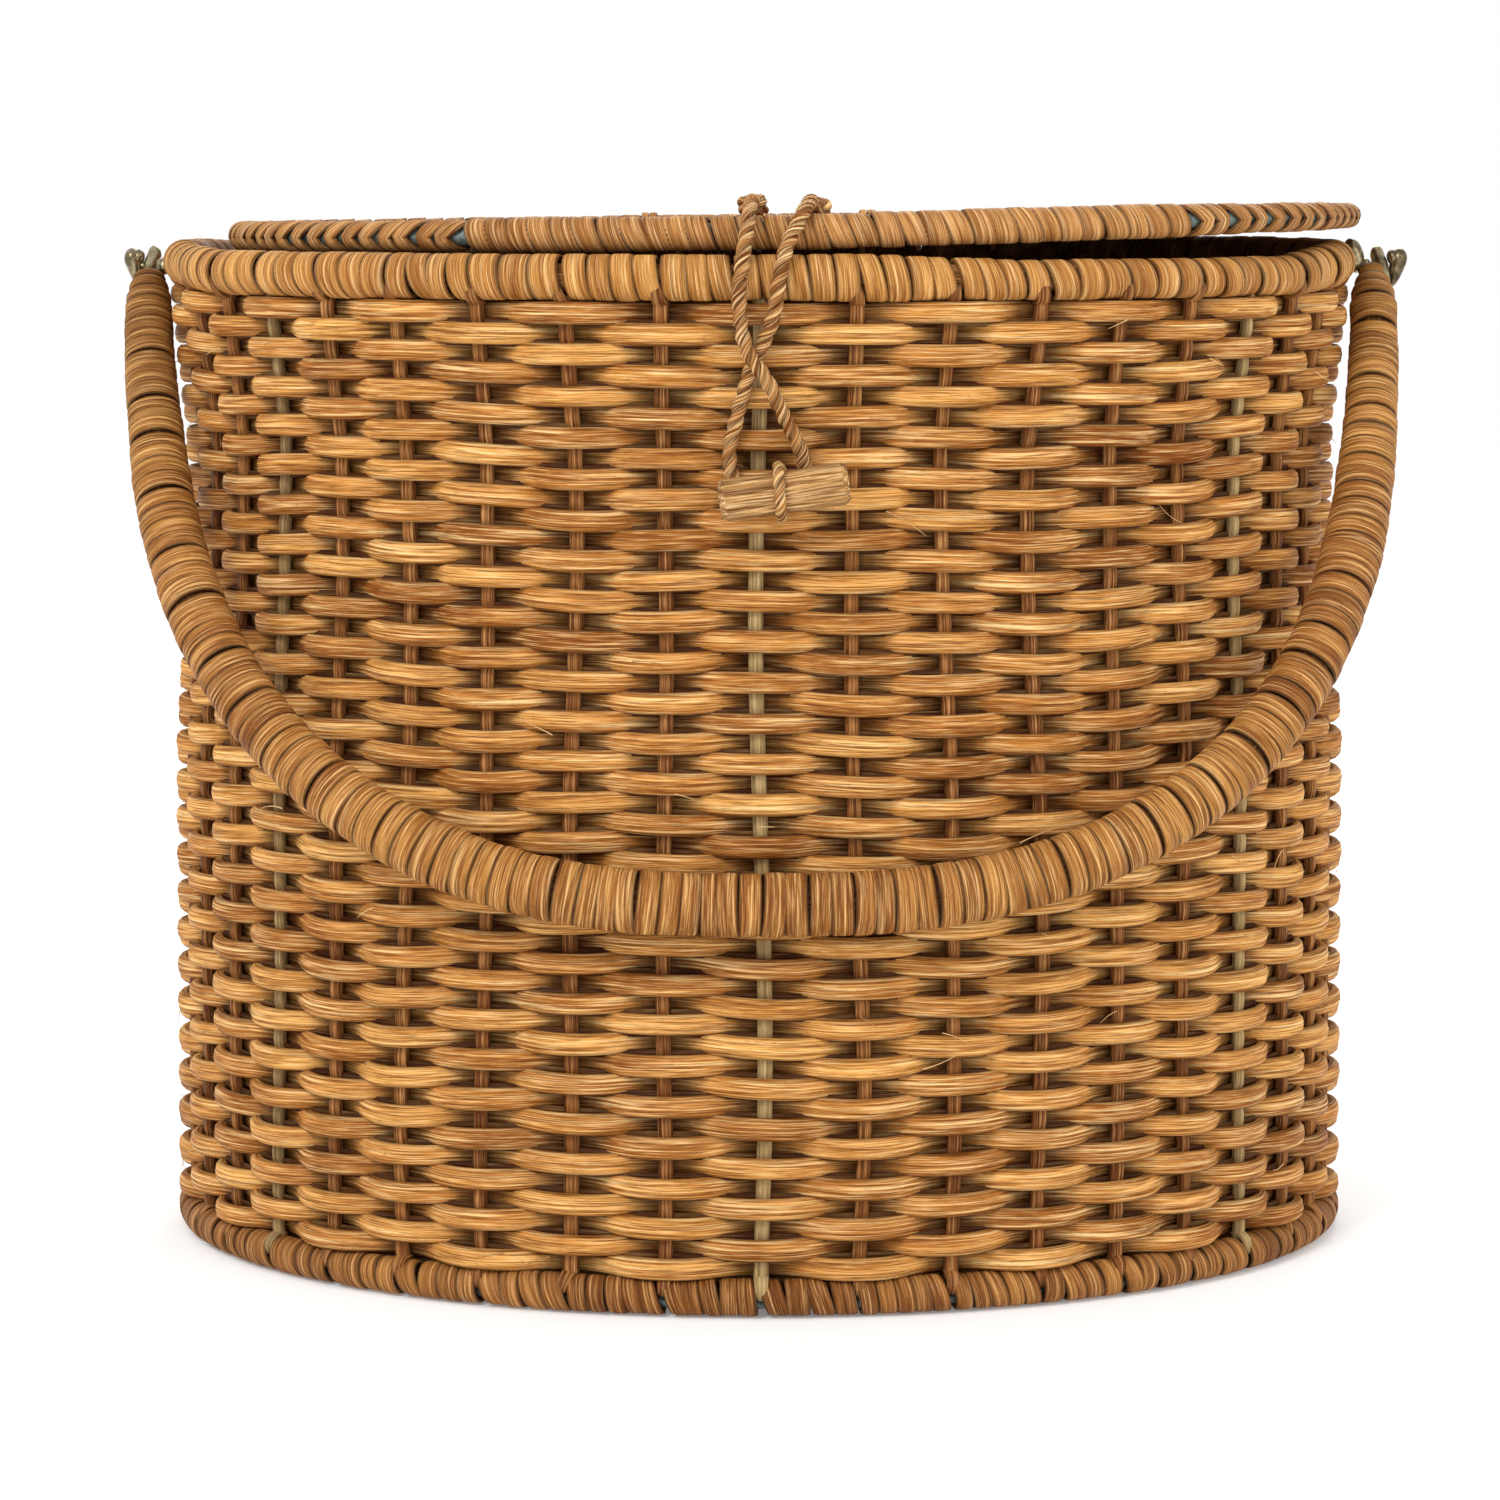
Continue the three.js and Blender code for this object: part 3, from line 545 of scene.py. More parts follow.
def stake(strands, place, half_width, tint):
    """An upright between the base and the rim, with its two ends bent over their bindings."""
    foot, top = 2 * BASE_WRAP_RADIUS - STAKE_TUCK, RIM_HEIGHT - RIM_WRAP_RADIUS + STAKE_TUCK
    height = np.linspace(foot, top, 150)
    row = (height - WALL_BOTTOM) / ROW_PITCH - 0.5
    woven = (height > WALL_BOTTOM) & (height < WALL_TOP)
    offset = np.where(woven, -STAKE_SWING * swing(place, row), 0)
    angle = np.full(height.shape, place * TAU / STAKE_COUNT)
    centres, up = wall_place(angle, height, offset)
    strands.add(centres, up, half_width, STAKE_RADIUS * 0.92, sides=8, tint=tint, dive=0.2)
    if place not in FRAME_WIRE_PLACES:
        tongue(strands, place, RIM_LINE, RIM_HEIGHT, RIM_WRAP_RADIUS, -105, rng.uniform(-32, -12),
               half_width, tint)
    tongue(strands, place, BASE_LINE, BASE_WRAP_RADIUS, BASE_WRAP_RADIUS, 105, rng.uniform(0, 20),
           half_width, tint)


def tongue(strands, place, line, middle_height, radius, start, end, half_width, tint):
    """The end of a stake, bent over the outside of a wrapped hoop and tucked in."""
    share = np.linspace(0, 1, 14)[:, None]
    turn = np.radians(start + (end - start) * share)
    angle = place * TAU / STAKE_COUNT
    aside, rise = drift(angle, WALL_TOP if middle_height > WALL_TOP else WALL_BOTTOM)
    angle = angle + aside / line
    short = line - OVAL_DIFFERENCE
    out = outward(line, short, angle)
    direction = np.cos(turn) * out + np.sin(turn) * UPWARD
    lean = share**1.5 * rng.uniform(-2.2, 0.4) * MM
    proud = radius + (0.7 - 2.6 * share**2) * MM
    centres = oval(line, short, angle, middle_height + rise) + direction * proud
    width = half_width * (1.05 - 0.35 * share[:, 0] ** 1.5)
    # Darker towards the tucked-in tip: painted shade under the binding.
    strands.add(centres + lean * np.cross(UPWARD, out), direction, width, TONGUE_HALF_THICKNESS,
                sides=8, tint=tint, dive=0.15 + 0.6 * share[:, 0] ** 3)


def stake_name(place):
    if place in FRAME_WIRE_PLACES:
        return f"frame_wire_{FRAME_WIRE_PLACES.index(place) + 1}"
    return f"stake_{place:02d}"


def walls():
    weavers(range(0, ROWS // 2)).build("weavers_lower", WEAVE, "basket", "rattan_weave", "wall_weave")
    weavers(range(ROWS // 2, ROWS)).build("weavers_upper", WEAVE, "basket", "rattan_weave")
    chink_shade()
    rattan, bound = Strands(), Strands()
    for place in range(STAKE_COUNT):
        wire = place in FRAME_WIRE_PLACES
        stake(bound if wire else rattan, place, STAKE_RADIUS * rng.uniform(0.95, 1.12), rng.uniform(0.2, 0.8))
    wires = [stake_name(p) for p in FRAME_WIRE_PLACES]
    rods = [stake_name(p) for p in range(STAKE_COUNT) if p not in FRAME_WIRE_PLACES]
    rattan.build("stakes", STAKE, "basket", "rattan_stake", *rods)
    bound.build("frame_wires", BOUND_WIRE, "basket", "bound_wire", *wires)


# ---- Wrapped hoops
BASE_BAND_WIDTH, BASE_BAND_GAP, BASE_BAND_SLANT = 5.8 * MM, 1.6 * MM, -1.0
RIM_BAND_WIDTH, RIM_BAND_GAP, RIM_BAND_SLANT = 6.7 * MM, 1.2 * MM, -1.1
BASE_WIRE_DROP = 1.8 * MM  # below the middle of the binding
BASE_PANEL_RISE, BASE_PANEL_SWING, BASE_PANEL_HALF_HEIGHT = 2.6 * MM, 0.8 * MM, 1.3 * MM
RIM_CORE_RADIUS = RIM_WRAP_RADIUS - 2.6 * MM


def add_band(strands, centre, tangent, out, up, radius, width, slant=0.0, tip=0.0, dive=0.0,
             inner=0.0, tint=None, steps=22):
    """One turn of cane round a hoop. slant leans it, and tip pulls its outer side along the hoop
    into a point. inner paints shade on the side that faces away from out."""
    turn = TAU * np.arange(steps) / steps + math.pi
    direction = np.cos(turn)[:, None] * out + np.sin(turn)[:, None] * up
    point = np.clip(1 - np.abs((turn + math.pi) % TAU - math.pi) / (math.pi / 2), 0, 1)
    shift = slant * np.sin(turn) + tip * point
    waist = 1 - 0.3 * point * (tip != 0)
    ripple = 1 + 0.012 * np.sin(2 * turn + rng.uniform(0, TAU))
    centres = centre + direction * (radius * ripple)[:, None] + shift[:, None] * tangent
    strands.add(centres, direction, width / 2 * waist, CANE_HALF_THICKNESS, closed=True, sides=8,
                square=0.62, dive=np.maximum(dive, inner * np.clip(0.3 - np.cos(turn), 0, 1)),
                tint=rng.uniform(0.35, 0.65) if tint is None else tint)


def oval_steps(long, short):
    """Angles finely round an oval, and the distance along it to each."""
    angle = np.linspace(0, TAU, 2001)
    return angle, lengths(oval(long, short, angle))


def hoop(name, material, slot, long, short, height, radius, node, body="basket", move=None):
    """A round rod bent into an oval."""
    angle = np.arange(240) * TAU / 240
    centres = oval(long, short, angle, height)
    up = outward(long, short, angle)
    strands = Strands()
    if move:
        centres, up = move(centres), move(up, True)
    strands.add(centres, up, radius, radius, closed=True, sides=10)
    return strands.build(name, material, body, slot, node)


def wrapped_between_stakes(strands, line, height, radius, width, gap, slant, inner, warp=None):
    """Bands in groups, with a gap at each stake. warp gives the rise and the swell at an angle."""
    short = line - OVAL_DIFFERENCE
    angles, at = oval_steps(line, short)
    for place in range(STAKE_COUNT):
        start, end = np.interp([place * TAU / STAKE_COUNT, (place + 1) * TAU / STAKE_COUNT], angles, at)
        start, end = start + gap / 2, end - gap / 2
        count = max(2, round((end - start) / width + rng.uniform(-0.3, 0.3)))
        step = (end - start) / count
        for index in range(count):
            middle = start + (index + 0.5 + rng.uniform(-0.09, 0.09)) * step
            angle = float(np.interp(middle, at, angles))
            out = outward(line, short, angle)
            tangent = np.cross(UPWARD, out)
            rise, swell = warp(angle) if warp else (0, 1)
            add_band(strands, oval(line, short, angle, height + rise), tangent, out, UPWARD,
                     radius * swell * rng.uniform(0.975, 1.025), step * rng.uniform(1.0, 1.14),
                     slant=(slant + rng.uniform(-0.8, 0.8)) * MM, inner=inner,
                     tint=0.5 + 0.14 * math.sin(5 * angle + height * 900) + rng.uniform(-0.14, 0.14))


def base():
    """The binding round the base, the wire that shows in its gaps and the woven bottom."""
    strands = Strands()
    wrapped_between_stakes(strands, BASE_LINE, BASE_WRAP_RADIUS, BASE_WRAP_RADIUS - CANE_HALF_THICKNESS,
                           BASE_BAND_WIDTH, BASE_BAND_GAP, BASE_BAND_SLANT, inner=0.3)
    strands.build("base_wrap", BASE_WRAP, "basket", "cane_binding", "base_rim_wrap")
    hoop("base_wire", WIRE, "steel_wire", BASE_LINE, BASE_LINE - OVAL_DIFFERENCE,
         BASE_WRAP_RADIUS - BASE_WIRE_DROP, BASE_HOOP_RADIUS, "base_hoop")
    reach = BASE_WRAP_RADIUS
    panel = woven_panel(BASE_LINE - reach, BASE_LINE - OVAL_DIFFERENCE - reach, BASE_PANEL_SWING,
                        BASE_PANEL_HALF_HEIGHT)
    for strands_of, name, material in panel:
        for block in strands_of.points:
            block += (0, 0, BASE_PANEL_RISE)
        strands_of.build(f"base_{name}", material, "basket", "rattan_weave",
                         *(["base_weave"] if name == "weavers" else []))


def rim_warp(angle):
    """The rise and the swell of the rim's binding at an angle."""
    squeeze = rim_squeeze(angle)
    return rim_lift(angle) - RIM_SQUEEZE_DROP * squeeze, 1 - RIM_SQUEEZE * squeeze


def rim():
    """The binding round the rim and the hoop inside it."""
    strands = Strands()
    wrapped_between_stakes(strands, RIM_LINE, RIM_HEIGHT, RIM_WRAP_RADIUS - CANE_HALF_THICKNESS,
                           RIM_BAND_WIDTH, RIM_BAND_GAP, RIM_BAND_SLANT, inner=0.9, warp=rim_warp)
    strands.build("rim_wrap_cane", WRAP, "basket", "cane_binding", "rim_wrap")
    hoop("rim_core", STAKE, "rattan_stake", RIM_LINE, RIM_LINE - OVAL_DIFFERENCE,
         RIM_HEIGHT, RIM_CORE_RADIUS, "rim_hoop")


# ---- Woven panels
RIB_SPACING = 24 * MM
PANEL_PITCH = 5.7 * MM


def woven_panel(long, short, swing_height, half_height):
    """Weavers along the oval's length over and under ribs, clipped to the oval, round z = 0."""
    across, ribs = Strands(), Strands()
    rib_places = np.arange(-math.floor(long / RIB_SPACING), math.floor(long / RIB_SPACING) + 1) * RIB_SPACING
    for x in rib_places:
        reach = short * math.sqrt(max(0.0, 1 - (x / long) ** 2))
        if reach < 4 * PANEL_PITCH:
            continue
        y = np.linspace(-reach, reach, 60)
        centres = np.stack([x + 0.5 * MM * np.sin(y * 40 + x * 90), y, 0 * y], -1)
        ribs.add(centres, UPWARD, STAKE_RADIUS, half_height, sides=8, dive=0.3)
    count = math.floor(short / PANEL_PITCH)
    for row in range(-count, count + 1):
        y = row * PANEL_PITCH
        reach = long * math.sqrt(max(0.0, 1 - (y / short) ** 2))
        if reach < RIB_SPACING / 2:
            continue
        x = np.linspace(-reach, reach, max(12, round(2 * reach / (3 * MM))))
        wave = np.cos(math.pi * (x / RIB_SPACING + row))
        centres = np.stack([x, y + 0.3 * MM * np.sin(x * 31 + row), swing_height * wave], -1)
        # Darker midway between the ribs, where neighbouring rows cross: stain and painted shade.
        across.add(centres, UPWARD, WEAVER_HALF_HEIGHT, half_height, sides=8, square=0.9,
                   dive=np.clip(0.3 - np.abs(wave), 0, 1), tint=rng.uniform(0.2, 0.9))
    return (across, "weavers", WEAVE), (ribs, "ribs", STAKE)


# ---- Lid
LID_TURN = np.array([[math.cos(LID_SKEW), 0, -math.sin(LID_SKEW)], [0, 1, 0],
                     [math.sin(LID_SKEW), 0, math.cos(LID_SKEW)]])
LID_STRETCH = 4.2 * MM  # how much further the right-hand tip reaches than an oval's would
LID_DROP, LID_BACK_SINK = 0.6, 0.5  # in millimetres, as are the two below
LID_RIGHT_LIFT, LID_BACK_FALL = 1.6, 1.3


def on_lid(points, direction=False):
    """Turns points drawn about the lid's centre into place. The lid has sunk at the back and its
    right-hand front has curled up."""
    points = np.asarray(points, float)
    turned = points @ LID_TURN.T
    if direction:
        return turned
    right = np.clip(points[..., :1] / LID_LONG, 0, 1)
    back = points[..., 1:2] / LID_SHORT
    sag = -LID_DROP - LID_BACK_SINK * (back + 1) + right * (LID_RIGHT_LIFT - LID_BACK_FALL * back)
    return turned + LID_CENTRE + sag * MM * UPWARD + right**4 * LID_STRETCH * np.array([1.0, 0, 0])


PLAIN_FRONT = (-0.58, 0.72)  # the part of the front edge, by its angle, that is wrapped plainly
PLAIN_BACK = 0.7  # and to each side of the back's middle
EDGE_RADIUS, BRAID_RADIUS, BACK_RADIUS = 4.9 * MM, 4.5 * MM, 4.0 * MM
PLAIN_BAND_WIDTH, PLAIN_BAND_STEP, PLAIN_BAND_SLANT = 7.3 * MM, 6.7 * MM, -1.7 * MM
BRAID_WIDTH, BRAID_STEP, BRAID_SLANT, BRAID_TIP = 6.5 * MM, 6.9 * MM, 1.0 * MM, (3.4, 4.8)
RIGHT_TIP_THINNING = 0.2
LID_WIRE_RADIUS = 2.9 * MM
PANEL_INSET, LID_PANEL_SWING, LID_PANEL_HALF_HEIGHT = 2 * MM, 1.1 * MM, 1.4 * MM


def lid_edge():
    """Plain turns along the front and back, and a braid of pointed turns round the two ends."""
    strands = Strands()
    angles, at = oval_steps(LID_LONG, LID_SHORT)
    middle = 0.0
    while middle < at[-1] - 2 * MM:
        angle = float(np.interp(middle, at, angles))
        front = (angle + math.pi) % TAU - math.pi
        plain = PLAIN_FRONT[0] < front < PLAIN_FRONT[1] or math.pi - abs(front) < PLAIN_BACK
        out = outward(LID_LONG, LID_SHORT, angle)
        back = (1 - math.cos(angle)) / 2
        radius = (EDGE_RADIUS if plain else BRAID_RADIUS) * (1 - back) + BACK_RADIUS * back
        radius *= 1 - RIGHT_TIP_THINNING * max(0.0, math.sin(angle)) ** 8
        tip = 0.0 if plain else math.copysign(rng.uniform(*BRAID_TIP) * MM, front)
        slant = PLAIN_BAND_SLANT if plain else -math.copysign(BRAID_SLANT, front)
        place = on_lid(oval(LID_LONG, LID_SHORT, angle))
        tangent = on_lid(np.cross(UPWARD, out), True)
        radius = radius * rng.uniform(0.97, 1.05) - CANE_HALF_THICKNESS
        width = PLAIN_BAND_WIDTH if plain else BRAID_WIDTH
        add_band(strands, place, tangent, on_lid(out, True), on_lid(UPWARD, True), radius, width,
                 slant=slant + rng.uniform(-0.5, 0.5) * MM, tip=tip, inner=0.5,
                 tint=0.5 + 0.15 * math.sin(4 * angle) + rng.uniform(-0.15, 0.15))
        middle += (PLAIN_BAND_STEP if plain else BRAID_STEP) * rng.uniform(0.88, 1.12)
    strands.build("lid_wrap_cane", LID_WRAP, "lid", "cane_binding", "lid_rim_wrap")
    hoop("lid_wire", WIRE, "steel_wire", LID_LONG, LID_SHORT, 0, LID_WIRE_RADIUS, "lid_hoop", "lid",
         on_lid)


def lid():
    lid_edge()
    panel = woven_panel(LID_LONG - PANEL_INSET, LID_SHORT - PANEL_INSET, LID_PANEL_SWING,
                        LID_PANEL_HALF_HEIGHT)
    for strands, name, material in panel:
        strands.points = [on_lid(block) for block in strands.points]
        strands.build(f"lid_{name}", material, "lid", "rattan_weave",
                      *(["lid_weave"] if name == "weavers" else []))
    for x, side in zip(HINGE_PLACES, ("left", "right")):
        hinge_loop(x, side)


HINGE_CANE_HALF_WIDTH, HINGE_CANE_HALF_THICKNESS = 1.3 * MM, 0.55 * MM
HINGE_CANES_APART, HINGE_CLEARANCE = 2.7 * MM, 0.4 * MM
HINGE_LID_SAG = 1.6 * MM  # how far the lid's back edge has sunk


def hinge_loop(x, side):
    """Two turns of cane round the rim and the lid's back edge."""
    across = x - LID_CENTRE[0]
    lid_y = LID_SHORT * math.sqrt(1 - (across / LID_LONG) ** 2)
    near = np.array([x, HINGE_AXIS_Y, RIM_HEIGHT])
    far = np.array([x, lid_y, LID_CENTRE[2] + across * LID_SKEW])
    heading = math.atan2(far[2] - near[2], far[1] - near[1])
    spread = math.acos((HINGE_RIM_RADIUS - HINGE_LID_RADIUS) / np.linalg.norm(far - near))
    strands = Strands()
    for shift in (-HINGE_CANES_APART / 2, HINGE_CANES_APART / 2):
        arcs = []
        for centre, radius, start, end in (
                (near, HINGE_RIM_RADIUS, heading + spread, heading - spread + TAU),
                (far - (0, 0, HINGE_LID_SAG), BACK_RADIUS, heading - spread, heading + spread)):
            turn = np.linspace(start, end, 18)
            ring = np.stack([0 * turn, np.cos(turn), np.sin(turn)], -1)
            arcs.append((centre + ring * (radius + HINGE_CLEARANCE), ring))
        centres = np.vstack([a[0] for a in arcs]) + (shift, 0, 0)
        up = np.vstack([a[1] for a in arcs])
        strands.add(centres, up, HINGE_CANE_HALF_WIDTH, HINGE_CANE_HALF_THICKNESS, closed=True,
                    sides=8, square=0.8)
    strands.build(f"hinge_cane_{side}", WRAP, "lid", "cane_binding", f"hinge_loop_{side}")


# ---- Handle
def hang(points, direction=False):
    """Turns points drawn hanging below the pivots to where the handle rests."""
    c, s = math.cos(-HANDLE_REST_ANGLE), math.sin(-HANDLE_REST_ANGLE)
    turned = np.asarray(points) @ np.array([[1, 0, 0], [0, c, -s], [0, s, c]]).T
    return turned if direction else turned + (0, 0, PIVOT_HEIGHT)


LEFT_BEND, RIGHT_BEND = 4.6 * MM, 2.4 * MM  # how far the legs have bent inwards
LEFT_BARE = 3.2 * MM  # how much of the left end the binding leaves bare
SHOULDER = 15 * MM  # the length over which each end of the binding swells
CORE_INSET = 1.7 * MM
GRIP_BAND_WIDTH, END_NARROWING = 6.4, 2.4  # in millimetres: the turns are narrower at the ends
LEFT_NARROWING, RIGHT_NARROWING = 110 * MM, 60 * MM  # and over these lengths


def handle_line():
    """The middle line of the handle, from its left end to its right end, hanging straight down."""
    across_power, down_power = HANDLE_SHAPE
    start = math.asin((HANDLE_START / HANDLE_DROP) ** (1 / down_power))
    turn = np.linspace(start, math.pi - start, 3000)
    cosine = np.cos(turn)
    across = -np.sign(cosine) * np.abs(cosine) ** across_power
    down = np.sin(turn) ** down_power
    line = np.stack([across * HANDLE_HALF_WIDTH, 0 * turn, -down * HANDLE_DROP], -1)
    at = lengths(line)
    left = np.clip(0.35 + at / (90 * MM), 0, 1) * np.clip((-20 * MM - line[:, 0]) / (90 * MM), 0, 1)
    right = np.clip(0.3 + (at[-1] - at) / (70 * MM), 0, 1)
    right = right * np.clip((line[:, 2] + 170 * MM) / (90 * MM), 0, 1)
    right = right * (line[:, 0] > 0)
    line[:, 0] += LEFT_BEND * left - RIGHT_BEND * right  # the bends fade out towards the grip
    return evenly(line, 0.5 * MM)


def handle():
    """The turns of cane that bind the handle, and the rod inside them."""
    line = handle_line()
    at = lengths(line)
    along = unit(np.gradient(line, axis=0))
    share = np.clip(-line[:, 2] / HANDLE_TAPER_DROP, 0, 1)
    radius = HANDLE_END_RADIUS + (HANDLE_GRIP_RADIUS - HANDLE_END_RADIUS) * share**2 * (3 - 2 * share)
    shoulder = np.clip(np.minimum(at, at[-1] - at) / SHOULDER, 0, 1)
    radius = radius * (0.56 + 0.44 * np.sin(shoulder * math.pi / 2))
    strands, core = Strands(), Strands()
    depth = np.array([0.0, 1.0, 0.0])
    middle = LEFT_BARE
    while middle < at[-1]:
        index = int(np.searchsorted(at, middle))
        end = max(0.0, 1 - middle / LEFT_NARROWING, 0.8 - (at[-1] - middle) / RIGHT_NARROWING)
        width = (GRIP_BAND_WIDTH - END_NARROWING * end) * MM * rng.uniform(0.86, 1.12)
        side = np.cross(depth, along[index])
        # The turns darken towards the ends of the handle.
        add_band(strands, hang(line[index]), hang(along[index], True), hang(side, True), hang(depth, True),
                 (radius[index] - CANE_HALF_THICKNESS) * rng.uniform(0.98, 1.015), width,
                 slant=rng.uniform(-0.9, 0.9) * MM, dive=0.6 * end,
                 tint=0.5 + 0.15 * math.sin(middle / (31 * MM)) + rng.uniform(-0.15, 0.15))
        middle += width * rng.uniform(0.86, 0.96)
    strands.build("handle_cane", HANDLE_WRAP, "handle", "cane_binding", "handle_wrap")
    inner = slice(20, -20, 8)
    core_radius = radius[inner] - CORE_INSET
    core.add(hang(line[inner]), hang(depth, True), core_radius, core_radius, sides=12, dive=0.8)
    core.build("handle_rod", STAKE, "handle", "rattan_stake", "handle_core")


# ---- Toggle
TOGGLE_RINGS, TOGGLE_SIDES = 60, 72
TOGGLE_GROOVES = ((7, 0.22), (11, 0.2), (19, 0.14), (31, 0.08))  # how many round it, and depths in mm


def toggle_axis():
    return np.array([math.cos(TOGGLE_TILT), 0, math.sin(TOGGLE_TILT)])


def toggle():
    """A short length of grooved stick with blunt, ragged ends, and its tie."""
    strands = Strands()
    axis = toggle_axis()
    steps = np.linspace(-1, 1, TOGGLE_RINGS)
    centre = TOGGLE_CENTRE + steps[:, None] * axis * TOGGLE_LENGTH / 2
    bevel = np.clip((1 - np.abs(steps)) / 0.09, 0, 1)
    radius = TOGGLE_RADIUS * (0.8 + 0.2 * bevel**0.7) * (1 - 0.05 * (1 - np.abs(steps)) ** 2)
    strands.add(centre, (0.0, -1.0, 0.0), radius, radius, sides=TOGGLE_SIDES)
    ring = strands.points[0].reshape(TOGGLE_RINGS, TOGGLE_SIDES, 3)
    turn = TAU * (np.arange(TOGGLE_SIDES) + 0.5) / TOGGLE_SIDES
    groove = np.zeros(TOGGLE_SIDES)
    for count, depth in TOGGLE_GROOVES:
        groove += depth * np.sin(count * turn + rng.uniform(0, TAU))
    away = unit(ring - centre[:, None])
    ragged = rng.normal(0, 0.25, (TOGGLE_RINGS, TOGGLE_SIDES)) * (1 - bevel[:, None])
    ring += away * ((groove[None] * bevel[:, None] + ragged) * MM)[..., None]
    strands.build("toggle_stick", TWIG, "toggle", "twig", "toggle")
    tie()


TIE_ADVANCE, TIE_ENDS_APART = 2.2 * MM, 1.8 * MM


def tie():
    """A turn of cord round the stick whose two ends go back into the weave."""
    axis = toggle_axis()
    centre = TOGGLE_CENTRE + axis * TIE_SHIFT
    rise = np.cross(axis, (0.0, 1.0, 0.0)) * -1
    reach = TOGGLE_RADIUS + TIE_RADIUS * 0.9
    route = []
    for share in np.linspace(0, 1, 26):
        turn = TIE_WRAP * (share - 0.5)
        route.append(centre + np.array([0, -1, 0]) * math.cos(turn) * reach - rise * math.sin(turn) * reach
                     + axis * (share - 0.5) * TIE_ADVANCE)
    stub = np.array([centre[0], TIE_END_Y, TIE_STUB_HEIGHT])
    head, foot = stub + TIE_ENDS_APART / 2 * rise, stub - TIE_ENDS_APART / 2 * rise
    strands = Strands()
    add_twisted(strands, smooth_line([head, *route, foot], 0.8 * MM), TIE_RADIUS, TIE_TWIST)
    strands.build("toggle_cord", CORD, "toggle", "plant_fibre_cord", "toggle_tie")


# ---- Brass pivots
PIN_RADIUS = 1.3 * MM
# Each limb: places as millimetres from the middle and above the pivot, then half-widths across
# and in depth at evenly spaced places along it.
OUTER_EAR = ([(188.6, 7.0), (188.9, 3.5), (189.8, -1), (190.2, -6), (189.0, -14)], (2.0, 2.3, 1.9, 1.5),
             (2.9, 3.1, 2.2, 1.6))
INNER_EAR = [(185.0, 2.4), (185.0, -2), (186.0, -8), (187.5, -14)], (1.6, 1.7, 1.4, 1.1), (2.2, 2.4, 1.9, 1.4)
HEAD = [(195.4, 5.4), (195.0, 2.0), (194.0, -2), (192.4, -6.4)], (2.6, 2.6, 2.0, 1.3), (3.1, 3.0, 2.4, 1.4)
HEAD_LOBE = [(192.6, 5.0), (193.3, 2.6), (194.0, 0)], (1.8, 1.9, 1.8), (2.5, 2.6, 2.4)
RIGHT_TAB = [(179.8, 8.3), (181.4, 3.5), (182.8, -2.2)], (2.3, 2.9, 2.4), (3.4, 4.0, 3.4)
LEFT_TAB = [(181.0, 2.6), (181.6, 0), (182.4, -3)], (1.6, 1.9, 1.6), (2.6, 3.0, 2.6)
LEFT_SHIFT = 4.0 * MM  # the left-hand fittings sit nearer the rim
PIN_SPAN = (176 * MM, 191 * MM)


def limb(strands, shape, sign, shift, move):
    """A bar of brass with round ends."""
    places, across, depth = shape
    places = np.asarray(places, float) * MM
    line = np.stack([sign * (places[:, 0] - shift), 0 * places[:, 0], places[:, 1]], -1)
    line = smooth_line(line, 0.3 * MM)
    at = lengths(line)
    knots = np.linspace(0, at[-1], len(across))
    across, depth = np.interp(at, knots, across) * MM, np.interp(at, knots, depth) * MM
    near_end = np.clip(np.minimum(at, at[-1] - at) / (across * 1.3), 0, 1)
    round_off = np.sqrt(np.clip(1 - (1 - near_end) ** 2, 0.01, 1))
    strands.add(move(line), move((float(sign), 0.0, 0.0), True), depth * round_off, across * round_off,
                sides=16)


def on_pivot(points, direction=False):
    """Lifts points drawn about a pivot to its height."""
    return np.asarray(points) if direction else np.asarray(points) + (0, 0, PIVOT_HEIGHT)


def pivots():
    """The two-eared fork that turns with the handle, and the pin that it turns on, at each end."""
    for sign, side in ((-1, "left"), (1, "right")):
        shift = LEFT_SHIFT if sign < 0 else 0
        fork, pin = Strands(), Strands()
        limb(fork, OUTER_EAR, sign, shift, hang)
        limb(fork, INNER_EAR, sign, shift / 2, hang)
        for shape in (HEAD, HEAD_LOBE):
            limb(pin, shape, sign, shift, on_pivot)
        limb(pin, RIGHT_TAB if sign > 0 else LEFT_TAB, sign, 0, on_pivot)
        x = np.linspace(*PIN_SPAN, 24)
        line = np.stack([sign * x, 0 * x, 0 * x], -1)
        pin.add(on_pivot(line), UPWARD, PIN_RADIUS, PIN_RADIUS, sides=12)
        fork.build(f"fork_{side}", BRASS, "handle", "aged_brass", f"handle_fork_{side}")
        pin.build(f"pin_{side}", BRASS, "basket", "aged_brass", f"pivot_pin_{side}")


# ---- Loose fibres
LOOSE_FIBRES = 150
LOOSE_FIBRE_HALF_WIDTHS = (0.16, 0.06)  # at the root and at the tip, in millimetres


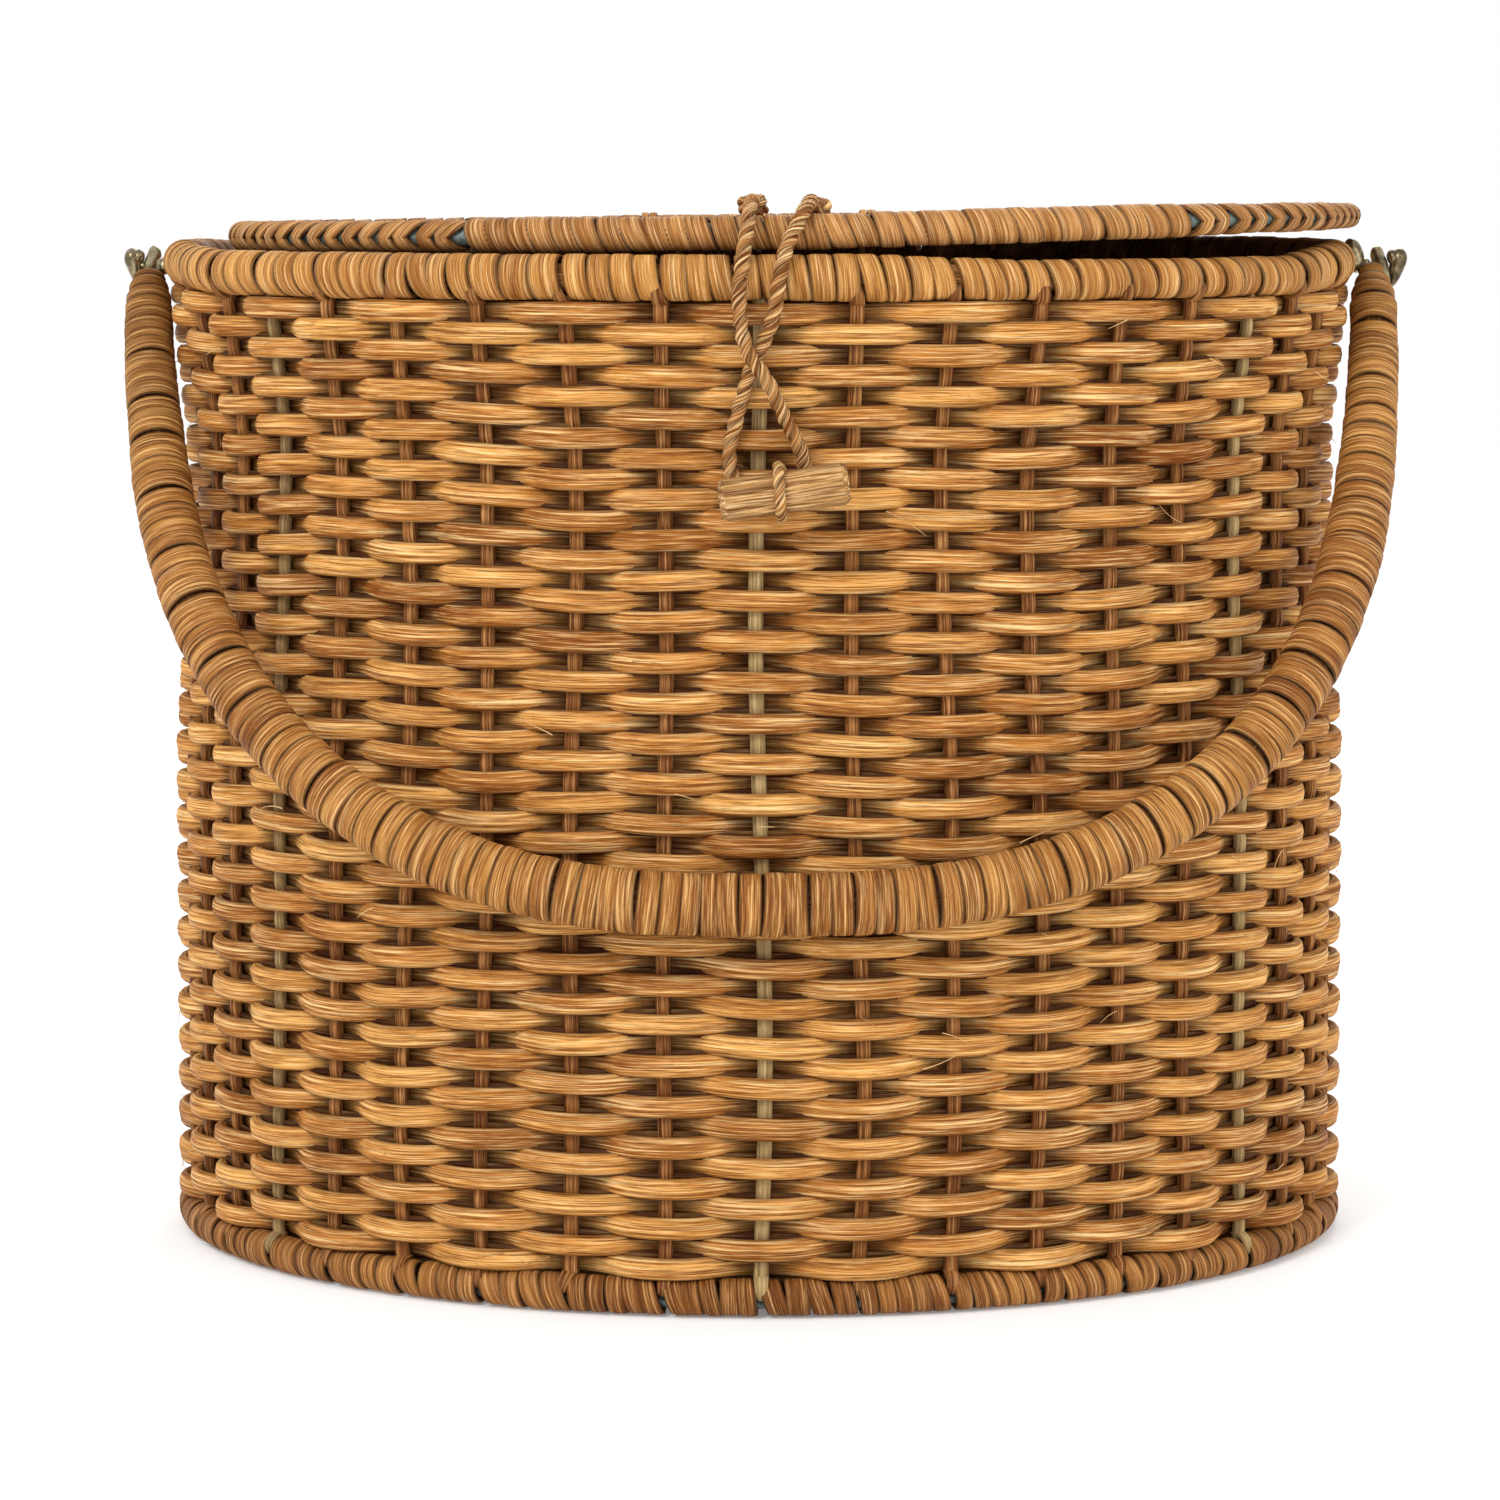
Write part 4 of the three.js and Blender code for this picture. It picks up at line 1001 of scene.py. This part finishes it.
def whiskers():
    """Fine fibres that have split away from the weave."""
    strands = Strands()
    for _ in range(LOOSE_FIBRES):
        angle, height = rng.uniform(0, TAU), rng.uniform(WALL_BOTTOM, WALL_TOP + 8 * MM)
        start, out = wall_place(np.array([angle]), np.array([height]), [WALL_HALF_THICKNESS - 0.5 * MM])
        out = out[0]
        along = np.cross(UPWARD, out) * rng.choice((-1, 1)) + UPWARD * rng.uniform(-0.5, 0.5)
        reach = rng.uniform(4, 11) * MM
        t = np.linspace(0, 1, 9)[:, None]
        line = start[0] + along * t * reach + out * (t**1.5) * reach * rng.uniform(0.05, 0.3)
        line = line + UPWARD * (t**2) * reach * rng.uniform(-0.4, 0.4)
        width = np.linspace(*LOOSE_FIBRE_HALF_WIDTHS, 9) * MM * rng.uniform(0.8, 1.4)
        strands.add(line, out, width, width, sides=5)
    strands.build("loose_fibres", HAIR, "basket", "rattan_weave")


# ---- Stage
def area_light(name, place, target, size, power, tone=(1, 1, 1)):
    data = bpy.data.lights.new(name, "AREA")
    data.size, data.energy, data.color = size, power, tone
    light = bpy.data.objects.new(name, data)
    light.location = place
    light.rotation_mode = "QUATERNION"
    light.rotation_quaternion = (Vector(target) - Vector(place)).to_track_quat("-Z", "Y")
    bpy.context.scene.collection.objects.link(light)


FLOOR_HALF_WIDTH = 12.0
FLOOR_DROP = 0.3 * MM
FLOOR_TONE, FLOOR_GLOW = 0.84, 0.17


def studio():
    """A pale floor, an even white surround and three soft lamps."""
    half = FLOOR_HALF_WIDTH
    corners = [(-half, -half, 0), (half, -half, 0), (half, half, 0), (-half, half, 0)]
    mesh = bpy.data.meshes.new("floor")
    mesh.from_pydata(corners, [], [(0, 1, 2, 3)])
    n = Nodes("floor")
    tone = (FLOOR_TONE, FLOOR_TONE, FLOOR_TONE, 1)
    mesh.materials.append(n.finish(Base_Color=tone, Roughness=0.9, Specular_IOR_Level=0.1,
                                   Emission_Color=(1, 1, 1, 1), Emission_Strength=FLOOR_GLOW))
    floor = bpy.data.objects.new("floor", mesh)
    floor.location.z = -FLOOR_DROP
    bpy.context.scene.collection.objects.link(floor)
    world = bpy.data.worlds.new("studio")
    world.use_nodes = True
    world.node_tree.nodes["Background"].inputs[0].default_value = (1, 1, 1, 1)
    world.node_tree.nodes["Background"].inputs[1].default_value = 1.0
    bpy.context.scene.world = world
    bpy.context.scene.view_settings.view_transform = "Standard"
    middle = (0, 0, 0.16)
    area_light("key", (-0.9, -1.5, 1.5), middle, 0.7, 22)
    area_light("fill", (1.4, -1.1, 0.7), middle, 1.0, 7)
    area_light("back", (0.3, 1.6, 1.3), middle, 1.0, 12)


walls()
base()
rim()
lid()
handle()
toggle()
pivots()
whiskers()
studio()
